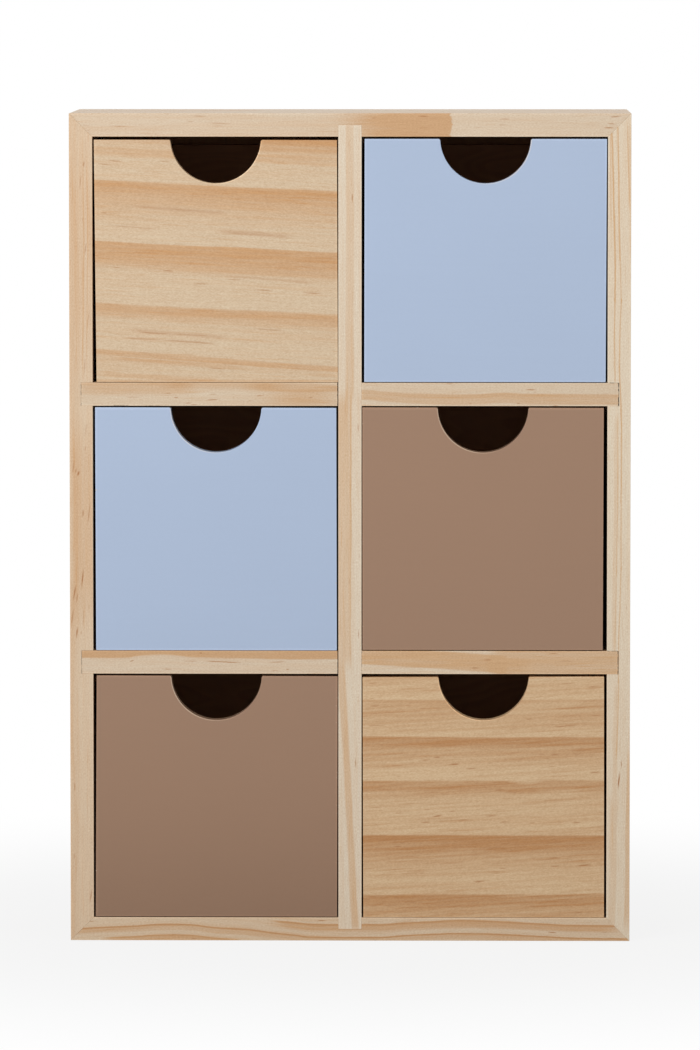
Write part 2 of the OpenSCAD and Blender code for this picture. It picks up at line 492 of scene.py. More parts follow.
def build_pine_surface():
    """Colour, roughness and relief of planed pine, from its late wood and marks."""
    (
        tree, vector, late, marks, early_colour, late_colour, fleck_colour, flecks, streaks,
        arris, seam, seed,
    ) = new_group(
        "Pine Surface",
        ("Color", "Roughness", "Height"),
        Vector=HERE,
        Late_Wood=0.0,
        Marks=0.0,
        Early_Colour=GREY,
        Late_Colour=GREY,
        Fleck_Colour=GREY,
        Flecks=0.2,
        Streaks=0.3,
        Arris=0.0,
        Seam=0.0,
        Seed=0.0,
    )
    shift = tree.vector(seed, seed, seed)
    fibre = tree.noise(vector, (0.11, 2.2, 2.2), 3.0, 0.65, shift=shift)
    streak = tree.noise(vector, (0.018, 0.7, 0.7), 4.0, 0.7, shift=shift)
    grit = tree.noise(vector, (1.3, 3.0, 3.0), 1.0, shift=shift)
    dash = tree.noise(vector, (0.06, 1.3, 1.3), 2.0, 0.6, shift=shift)
    dash = tree.rise(dash, 0.06, 0.22)
    tone = tree.noise(vector, (0.012, 0.05, 0.05), 1.0, shift=shift)
    late = tree.limit(late + streak * streaks + fibre * 0.18 + tone * 0.3 + dash * 0.26)
    colour = tree.mix(late, early_colour, late_colour)
    colour = tree.wood_shade(colour, fibre * 0.34 + streak * 0.2 + grit * 0.52)
    stretched = tree.scaled(vector, (0.1, 0.9, 0.9), shift)
    cells = tree.node("TexVoronoi", {"Vector": stretched, "Scale": 1.0})
    pick, size, strength = tree.parts(cells.outputs["Color"])
    size = size * 0.2 + 0.08
    near = 1.0 - tree.rise(Wire(tree, cells.outputs["Distance"]), size * 0.3, size)
    chosen = tree.rise(pick, 1.0 - flecks, 1.02 - flecks)
    fleck = near * chosen * (strength * 0.6 + 0.25)
    fleck = tree.limit(tree.math("MAXIMUM", fleck, marks * (1.0 + fibre * 1.2)))
    colour = tree.mix(fleck, colour, fleck_colour)
    tree.give(
        # Arris lightens the edges, partly as wear and partly as painted highlight
        Color=tree.shade(colour, 1.0 + arris * 0.2 - seam * 0.85),
        Roughness=0.5 + fibre * 0.14 - late * 0.07 - arris * 0.08,
        Height=fibre * 0.02 + late * 0.012 + streak * 0.012 - fleck * 0.02,
    )


def build_arris():
    """How near a point is to the outer edges of a block, from 0 to 1, with a ragged line; it marks
    edge wear and painted highlight.
    """
    tree, point, low, high, width = new_group(
        "Arris",
        ("Mask",),
        Vector=HERE,
        Low=HERE,
        High=HERE,
        Width=0.8,
    )
    from_low = tree.vector_math("SUBTRACT", point, low)
    from_high = tree.vector_math("SUBTRACT", high, point)
    first, second, third = tree.parts(tree.vector_math("MINIMUM", from_low, from_high))
    lower = tree.math("MINIMUM", first, second)
    upper = tree.math("MAXIMUM", first, second)
    middle = tree.math("MAXIMUM", lower, tree.math("MINIMUM", upper, third))
    rough = tree.noise(point, 0.35, 3.0, 0.6)
    tree.give(Mask=1.0 - tree.rise(middle + rough * width * 0.9, width * 0.3, width))


def build_notch_rim():
    """How near a point is to the front edge of a finger notch, from 0 to 1, stronger on its lit
    side: the mask of a painted highlight.
    """
    tree, point, centre, radius, reach, lit_side = new_group(
        "Notch Rim",
        ("Mask",),
        Vector=HERE,
        Centre=HERE,
        Radius=17.5,
        Reach=0.5,
        Side=0.0,
    )
    sideways, depth, upwards = tree.parts(tree.vector_math("SUBTRACT", point, centre))
    from_axis = tree.math("SQRT", sideways * sideways + upwards * upwards)
    off = tree.math("ABSOLUTE", from_axis - radius)
    beside = 1.0 - tree.rise(off, reach * 0.4, reach)
    behind = 1.0 - tree.rise(depth, reach, reach * 2.0)
    # The painted highlight is uneven along the rim
    wear_and_highlight = tree.noise(point, 0.3, 2.0) + 0.9
    lit = tree.limit(sideways * lit_side / radius + 0.45)
    tree.give(Mask=tree.limit(beside * behind * wear_and_highlight * lit))


def build_satin_paint():
    """Sprayed satin paint over smooth wood, with bare wood behind. Its edges are paler, partly from
    wear and partly as painted highlight, and it can be darkened as painted shade.
    """
    tree, vector, paint_colour, bare_colour, depth, wear_and_highlight, rim, shade, seed = new_group(
        "Satin Paint",
        ("Color", "Roughness", "Height"),
        Vector=HERE,
        Paint_Colour=GREY,
        Bare_Colour=GREY,
        Depth=0.0,
        Arris=0.0,
        Rim=0.0,
        Shade=0.0,
        Seed=0.0,
    )
    shift = tree.vector(seed, seed, seed)
    cloud = tree.noise(vector, 0.02, 2.0, shift=shift)
    speck = tree.noise(vector, 2.2, 2.0, 0.7, shift=shift)
    peel = tree.noise(vector, 0.7, 1.0, shift=shift)
    grain = tree.noise(vector, (0.03, 1.0, 1.0), 2.0, shift=shift)
    chips = tree.noise(vector, 0.9, 3.0, 0.7, shift=shift)
    ragged = tree.noise(vector, 0.5, 2.0, shift=shift)
    uneven = cloud * 0.035 + speck * 0.04 + grain * 0.016
    # shade darkens the paint as painted shade
    colour = tree.shade(paint_colour, 1.0 + uneven - shade)
    # Painted highlight along the edges and the notch's rim
    colour = tree.shade(colour, 1.0 + wear_and_highlight * 0.12 + rim * 0.25)
    bare = tree.rise(chips + wear_and_highlight * 0.3, 0.46, 0.5) * wear_and_highlight
    # The notch's rim shows pale bare wood, as part of its painted highlight
    bare = tree.math("MAXIMUM", bare, rim * 0.5)
    behind = tree.rise(depth + ragged * 0.7, *PAINT_ENDS)
    bare = tree.limit(tree.math("MAXIMUM", bare, behind))
    wood = tree.shade(bare_colour, 0.94 + grain * 0.25)
    tree.give(
        Color=tree.mix(bare, colour, wood),
        Roughness=0.34 + speck * 0.08 + cloud * 0.06 + bare * 0.26,
        Height=peel * 0.012 + grain * 0.008 + speck * 0.002 - bare * 0.03,
    )


def build_plywood():
    """Thin plywood: a quiet figure on its faces and its plies along its edges."""
    tree, vector, thickness, plies, face_colour, core_colour, arris, seed = new_group(
        "Plywood",
        ("Color", "Roughness", "Height"),
        Vector=HERE,
        Thickness=3.0,
        Plies=3.0,
        Face_Colour=GREY,
        Core_Colour=GREY,
        Arris=0.0,
        Seed=0.0,
    )
    along, across, depth = tree.parts(vector)
    ply = tree.limit(depth / thickness) * 0.999 * plies
    crossed = tree.math("MODULO", tree.math("FLOOR", ply), 2.0)
    with_grain = along + (across - along) * crossed
    across_grain = across + (along - across) * crossed
    grain = tree.vector(with_grain, across_grain, depth)
    shift = tree.vector(seed, seed, seed)
    swirl = tree.noise(grain, (0.012, 0.045, 0.1), 2.0, shift=shift)
    figure = tree.math("FRACT", swirl * 14.0 + across_grain * 0.03)
    figure = tree.rise(figure, 0.0, 0.75) * (1.0 - tree.rise(figure, 0.8, 1.0))
    fibre = tree.noise(grain, (0.08, 2.6, 2.6), 3.0, 0.6, shift=shift)
    pore = tree.noise(grain, (0.35, 5.0, 5.0), 1.0, shift=shift)
    dash = tree.rise(pore, 0.2, 0.3)
    within = tree.math("FRACT", ply)
    glue = 1.0 - tree.rise(tree.math("MINIMUM", within, 1.0 - within), 0.02, 0.09)
    inner = tree.rise(tree.math("MINIMUM", ply, plies - ply), 0.85, 1.0)
    core = tree.limit(crossed * 0.55 + glue * inner * 0.8 + figure * 0.22 + dash * 0.2)
    colour = tree.mix(core, face_colour, core_colour)
    tree.give(
        Color=tree.shade(colour, 1.0 + fibre * 0.12 + arris * 0.06),
        Roughness=0.62 + fibre * 0.12,
        Height=fibre * 0.03 - dash * 0.02 - glue * inner * 0.04,
    )


def build_node_groups():
    """Every shared effect, built once."""
    build_ring_distance()
    build_growth_rings()
    build_grain_mark()
    build_pine_surface()
    build_arris()
    build_notch_rim()
    build_satin_paint()
    build_plywood()


# ---------------------------------------------------------------- materials

# How deep behind the front edge, in millimetres, a board's own marks give way to rings
FRONT_LOOK_DEPTH = (1.5, 12.0)

# How a resin fleck tapers at each end: a share of its length, and at most this much
FLECK_TAPER = 0.45
LONGEST_TAPER = 5.0

# The resin-soaked stretch, in millimetres: how ragged and how soft its end is, and how
# far before the end its darker tide line lies
PATCH_RAGGED = 5.0
PATCH_SOFT = 0.7
PATCH_TIDE = 1.6

# How much an arris is lightened, partly as wear and partly as painted highlight, how much a notch's
# rim is lightened as painted highlight, and how far from a board's painted highlight edge that
# highlight starts to fade and is gone, in millimetres
ARRIS_WEAR_AND_HIGHLIGHT = 0.35
RIM_PAINTED_HIGHLIGHT = 2.2
PAINTED_HIGHLIGHT_FADE = (0.2, 0.5)

# Where the painted shade at a painted front's foot is full and gone, in millimetres above it
PAINTED_FOOT_SHADE_SPAN = (-20.0, 60.0)

# The rings of a front are read off a line that starts above it, in millimetres
RINGS_ABOVE = 6.0
RINGS_SPAN = 100.0


def new_material(name):
    """A material with an empty tree, its shader and its object coordinates in millimetres."""
    material = bpy.data.materials.new(name)
    material.use_nodes = True
    material.node_tree.nodes.clear()
    tree = Tree(material.node_tree)
    shader = tree.node("BsdfPrincipled")
    output = tree.node("OutputMaterial")
    tree.join(output.inputs["Surface"], shader.outputs["BSDF"])
    point = tree.scaled(tree.node("TexCoord").outputs["Object"], PER_METRE)
    return material, tree, shader, point


def finish_surface(tree, shader, surface):
    """Feeds the shader from a surface's colour, roughness and height in millimetres."""
    tree.join(shader.inputs["Base Color"], surface["Color"])
    tree.join(shader.inputs["Roughness"], surface["Roughness"])
    inputs = {"Height": surface["Height"], "Distance": MM, "Strength": 1.0}
    bump = tree.node("Bump", inputs)
    tree.join(shader.inputs["Normal"], bump.outputs["Normal"])


def box_in_mm(node):
    """Lowest and highest corner of a CAD node, in millimetres."""
    low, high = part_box(node)
    return tuple(low / MM), tuple(high / MM)


def arris_mask(tree, point, node):
    """The ragged line along the edges of a block-like node, which marks edge wear and painted
    highlight.
    """
    low, high = box_in_mm(node)
    return Wire(tree, tree.call("Arris", Vector=point, Low=low, High=high)["Mask"])


def notch_rim(tree, point, node):
    """A painted highlight round the front edge of a front's finger notch, where the rim catches
    the light on the right in the upper row and on the left below it."""
    low, high = box_in_mm(node)
    outputs = tree.call(
        "Notch Rim",
        Vector=point,
        Centre=((low[0] + high[0]) / 2, low[1], high[2] + NOTCH_RISE / MM),
        Radius=NOTCH_RADIUS / MM,
        Side=1.0 if node.startswith("top") else -1.0,
    )
    return Wire(tree, outputs["Mask"])


def grain_mark(tree, grain, line, half, soft, fade):
    """One mark along a line of start along, start across, end along and end across."""
    along, across, to_along, to_across = line
    outputs = tree.call(
        "Grain Mark",
        Vector=grain,
        Start=(along, across, 0.0),
        End=(to_along, to_across, 0.0),
        Half_Width=half,
        Softness=soft,
        Fade=fade,
    )
    return Wire(tree, outputs["Mask"])


def add_marks(tree, grain, marks):
    """Bands and lines given one by one, added up. Each is (start along, start across,
    end along, end across, half width, softness, fade, strength)."""
    total = 0.0
    for *line, half, soft, fade, strength in marks:
        total = total + grain_mark(tree, grain, line, half, soft, fade) * strength
    return total


def add_flecks(tree, grain, flecks):
    """Short resin flecks given one by one, the strongest at each point. Each is (start along,
    start across, end along, end across, half width, strength)."""
    total = 0.0
    for *line, half, strength in flecks:
        fade = min((line[2] - line[0]) * FLECK_TAPER, LONGEST_TAPER)
        fleck = grain_mark(tree, grain, line, 0.0, half * 1.05, fade) * strength
        total = tree.math("MAXIMUM", total, fleck)
    return total


def turned(tree, point, along, across, thick, origin):
    """The point measured along the grain, across it and into the board."""
    numbers = tree.parts(tree.vector_math("SUBTRACT", point, origin))
    return tree.vector(numbers[along], numbers[across], numbers[thick])


def wandering(tree, grain, seed):
    """The grain's own vector, with the small wanderings of real fibres across it."""
    numbers = tree.parts(grain)
    slow = tree.noise(grain, (0.02, 0.05, 0.05), 1.0, shift=(seed, 0.0, 0.0))
    quick = tree.noise(grain, (0.2, 0.8, 0.8), 2.0, 0.6, shift=(seed, 0.0, 0.0))
    return tree.vector(numbers[0], numbers[1] + slow * 1.4 + quick * 0.35, numbers[2])


def resin_patch(tree, grain, patch):
    """A resin-soaked stretch of a board, from its soft start to its ragged end."""
    start, full, end = patch
    along = tree.parts(grain)[0]
    ragged = tree.noise(grain, (0.25, 0.45, 0.45), 2.0)
    cloudy = tree.noise(grain, (0.05, 0.3, 0.3), 3.0)
    inside = tree.rise(along, start, full)
    past = along + ragged * PATCH_RAGGED
    over = tree.rise(past, end - PATCH_SOFT, end + PATCH_SOFT)
    tide = 1.0 - tree.rise(tree.math("ABSOLUTE", past - end + PATCH_TIDE), 0.6, 1.6)
    return inside * (1.0 - over) * (1.1 + cloudy * 0.5 + tide * 0.25)


def seam_lines(tree, point, seams):
    """Dark broken hairlines along joints, from 0 to 1. Each is (axis, its place, the axis
    it runs along, start, end, strength), in millimetres."""
    numbers = tree.parts(point)
    uneven = tree.noise(point, 0.9, 2.0, 0.7)
    broken = tree.rise(uneven, -0.06, 0.04) * 0.85 + 0.15
    total = 0.0
    for axis, place, run, start, end, strength in seams:
        off = tree.math("ABSOLUTE", numbers[axis] - place)
        near = 1.0 - tree.rise(off + uneven * 0.3, 0.16, 0.32)
        within = tree.rise(numbers[run], start - 0.2, start + 0.2)
        within = within * (1.0 - tree.rise(numbers[run], end - 0.2, end + 0.2))
        total = total + near * within * broken * strength
    return tree.limit(total)


def tinted(colour, tint):
    """A colour with each of its channels times a factor."""
    return tuple(value * factor for value, factor in zip(colour, tint))


def pine_board_material(node, settings, look):
    """Planed pine for one board, with the bands and lines of its front edge."""
    material, tree, shader, point = new_material("Pine " + node)
    along, across = (Z, X) if look.get("upright") else (X, Z)
    grain = turned(tree, point, along, across, Y, (0.0, FRONT_Y / MM, 0.0))
    if "wave" in look:
        numbers = tree.parts(grain)
        share = numbers[0] / (CABINET_HIGH.x / MM * 2.0) + 0.5
        lift = tree.curve(share, look["wave"]) * (BOARD_THICKNESS / MM)
        grain = tree.vector(numbers[0], numbers[1] - lift, numbers[2])
    pith_across, pith_depth = look["pith"]
    distance = tree.call(
        "Ring Distance",
        Vector=grain,
        Pith_Across=pith_across,
        Pith_Depth=pith_depth,
        Seed=look["seed"],
    )["Distance"]
    rings = tree.call(
        "Growth Rings",
        Distance=distance,
        Spacing=look["spacing"],
        Seed=look["seed"],
    )
    inside = tree.rise(tree.parts(grain)[2], *FRONT_LOOK_DEPTH)
    edge_rings = look.get("edge_rings", 0.25)
    late = Wire(tree, rings["Late Wood"]) * (inside * (0.8 - edge_rings) + edge_rings)
    wavy = wandering(tree, grain, look["seed"])
    marks = add_marks(tree, wavy, look["marks"])
    if "patch" in look:
        marks = marks + resin_patch(tree, wavy, look["patch"])
    late = late + (marks + look["base"]) * (1.0 - inside) + inside * 0.1
    flecks = add_flecks(tree, wavy, look.get("flecks", ()))
    # The edges are lightened, partly as wear and partly as painted highlight
    arris = arris_mask(tree, point, node) * ARRIS_WEAR_AND_HIGHLIGHT
    # A painted highlight along the board's edge beside the drawers
    if "painted_highlight_edge" in look:
        from_edge = tree.math("ABSOLUTE", tree.parts(point)[2] - look["painted_highlight_edge"])
        arris = tree.math("MAXIMUM", arris, 1.0 - tree.rise(from_edge, *PAINTED_HIGHLIGHT_FADE))
    surface = tree.call(
        "Pine Surface",
        Vector=grain,
        Late_Wood=late,
        Marks=flecks * (1.0 - inside),
        Early_Colour=tinted(settings.early_wood, look["tint"]),
        Late_Colour=tinted(settings.late_wood, look["tint"]),
        Fleck_Colour=settings.fleck,
        Flecks=look.get("fleck_share", 0.22),
        Streaks=look.get("streaks", 1.05),
        Arris=arris,
        Seam=seam_lines(tree, point, look.get("seams", ())),
        Seed=look["seed"],
    )
    finish_surface(tree, shader, surface)
    return material


def pine_front_material(node, cabinet, pale, dark, look):
    """Flat-sawn pine for one drawer front, with its rings in the places they have."""
    material, tree, shader, point = new_material("Pine " + node)
    low, high = box_in_mm(node)
    numbers = tree.parts(point)
    across = high[2] - numbers[2]
    grain = tree.vector(numbers[0] - low[0], across, numbers[1] - low[1])
    seed = look["seed"]
    slow = tree.noise(grain, (0.02, 0.03, 0.03), 2.0, shift=(seed, 0.0, 0.0))
    quick = tree.noise(grain, (0.12, 0.9, 0.9), 3.0, 0.6, shift=(seed, 0.0, 0.0))
    distance = across + numbers[1] * look["tilt"] - low[1] * look["tilt"]
    distance = distance - (numbers[0] - low[0]) * look["slope"]
    distance = distance + slow * look["bend"] + quick * look["ragged"]
    distance = distance + add_marks(tree, grain, look.get("knots", ()))
    stops = [((place + RINGS_ABOVE) / RINGS_SPAN, height) for place, height in look["rings"]]
    late = tree.ramp((distance + RINGS_ABOVE) / RINGS_SPAN, stops)
    late = late + add_marks(tree, grain, look.get("marks", ()))
    # The edges are lightened, partly as wear and partly as painted highlight
    arris = arris_mask(tree, point, node) * ARRIS_WEAR_AND_HIGHLIGHT
    leaning = tree.vector(numbers[0], across + numbers[0] * look["lean"], numbers[1])
    surface = tree.call(
        "Pine Surface",
        Vector=leaning,
        Late_Wood=late,
        Marks=add_flecks(tree, wandering(tree, grain, seed), look["flecks"]),
        Early_Colour=pale,
        Late_Colour=dark,
        Fleck_Colour=cabinet.fleck,
        Flecks=look["fleck_share"],
        Streaks=look["streaks"],
        # The notch's rim is lightened as a painted highlight
        Arris=tree.math("MAXIMUM", arris, notch_rim(tree, point, node) * RIM_PAINTED_HIGHLIGHT),
        Seed=seed,
    )
    finish_surface(tree, shader, surface)
    return material


def painted_front_material(node, paint, bare, painted_foot_shade, seed):
    """Satin paint for one drawer front, with painted shade that darkens it towards its foot."""
    material, tree, shader, point = new_material("Satin paint " + node)
    numbers = tree.parts(point)
    foot = box_in_mm(node)[0][2]
    painted_shade_at_foot = 1.0 - tree.rise(numbers[2] - foot, *PAINTED_FOOT_SHADE_SPAN)
    surface = tree.call(
        "Satin Paint",
        Vector=point,
        Paint_Colour=paint,
        Bare_Colour=bare,
        Depth=numbers[1] - FRONT_Y / MM,
        Arris=arris_mask(tree, point, node),
        # The notch's rim gets a painted highlight
        Rim=notch_rim(tree, point, node),
        Shade=painted_shade_at_foot * painted_foot_shade,
        Seed=seed,
    )
    finish_surface(tree, shader, surface)
    return material


def plywood_material(node, settings, along, across, thick, seed):
    """Plywood for one panel, with its plies across its thickness."""
    material, tree, shader, point = new_material("Plywood " + node)
    low, high = box_in_mm(node)
    surface = tree.call(
        "Plywood",
        Vector=turned(tree, point, along, across, thick, low),
        Thickness=high[thick] - low[thick],
        Face_Colour=settings.ply_face,
        Core_Colour=settings.ply_core,
        Arris=arris_mask(tree, point, node),
        Seed=seed,
    )
    finish_surface(tree, shader, surface)
    return material


def steel_material(settings):
    """Bare drawn steel with fine scratches, for the brads."""
    material, tree, shader, point = new_material("Bare steel")
    scratch = tree.noise(point, (4.0, 4.0, 0.6), 3.0, 0.7)
    cloud = tree.noise(point, 0.6, 2.0)
    colour = tree.shade(tree.vector(*settings.steel), 1.0 + scratch * 0.2 + cloud * 0.25)
    surface = {
        "Color": colour,
        "Roughness": 0.38 + scratch * 0.25,
        "Height": scratch * 0.01,
    }
    finish_surface(tree, shader, surface)
    shader.inputs["Metallic"].default_value = 1.0
    return material


def beech_material(settings):
    """Beech with its short dark rays, for the dowels."""
    material, tree, shader, point = new_material("Beech")
    fibre = tree.noise(point, (0.15, 4.0, 4.0), 3.0, 0.6)
    ray = tree.rise(tree.noise(point, (0.9, 5.0, 5.0), 1.0), 0.18, 0.26)
    colour = tree.shade(tree.vector(*settings.beech), 1.0 + fibre * 0.18 - ray * 0.22)
    surface = {
        "Color": colour,
        "Roughness": 0.5 + fibre * 0.12,
        "Height": fibre * 0.02 - ray * 0.02,
    }
    finish_surface(tree, shader, surface)
    return material


# ---------------------------------------------------------------- how each board looks

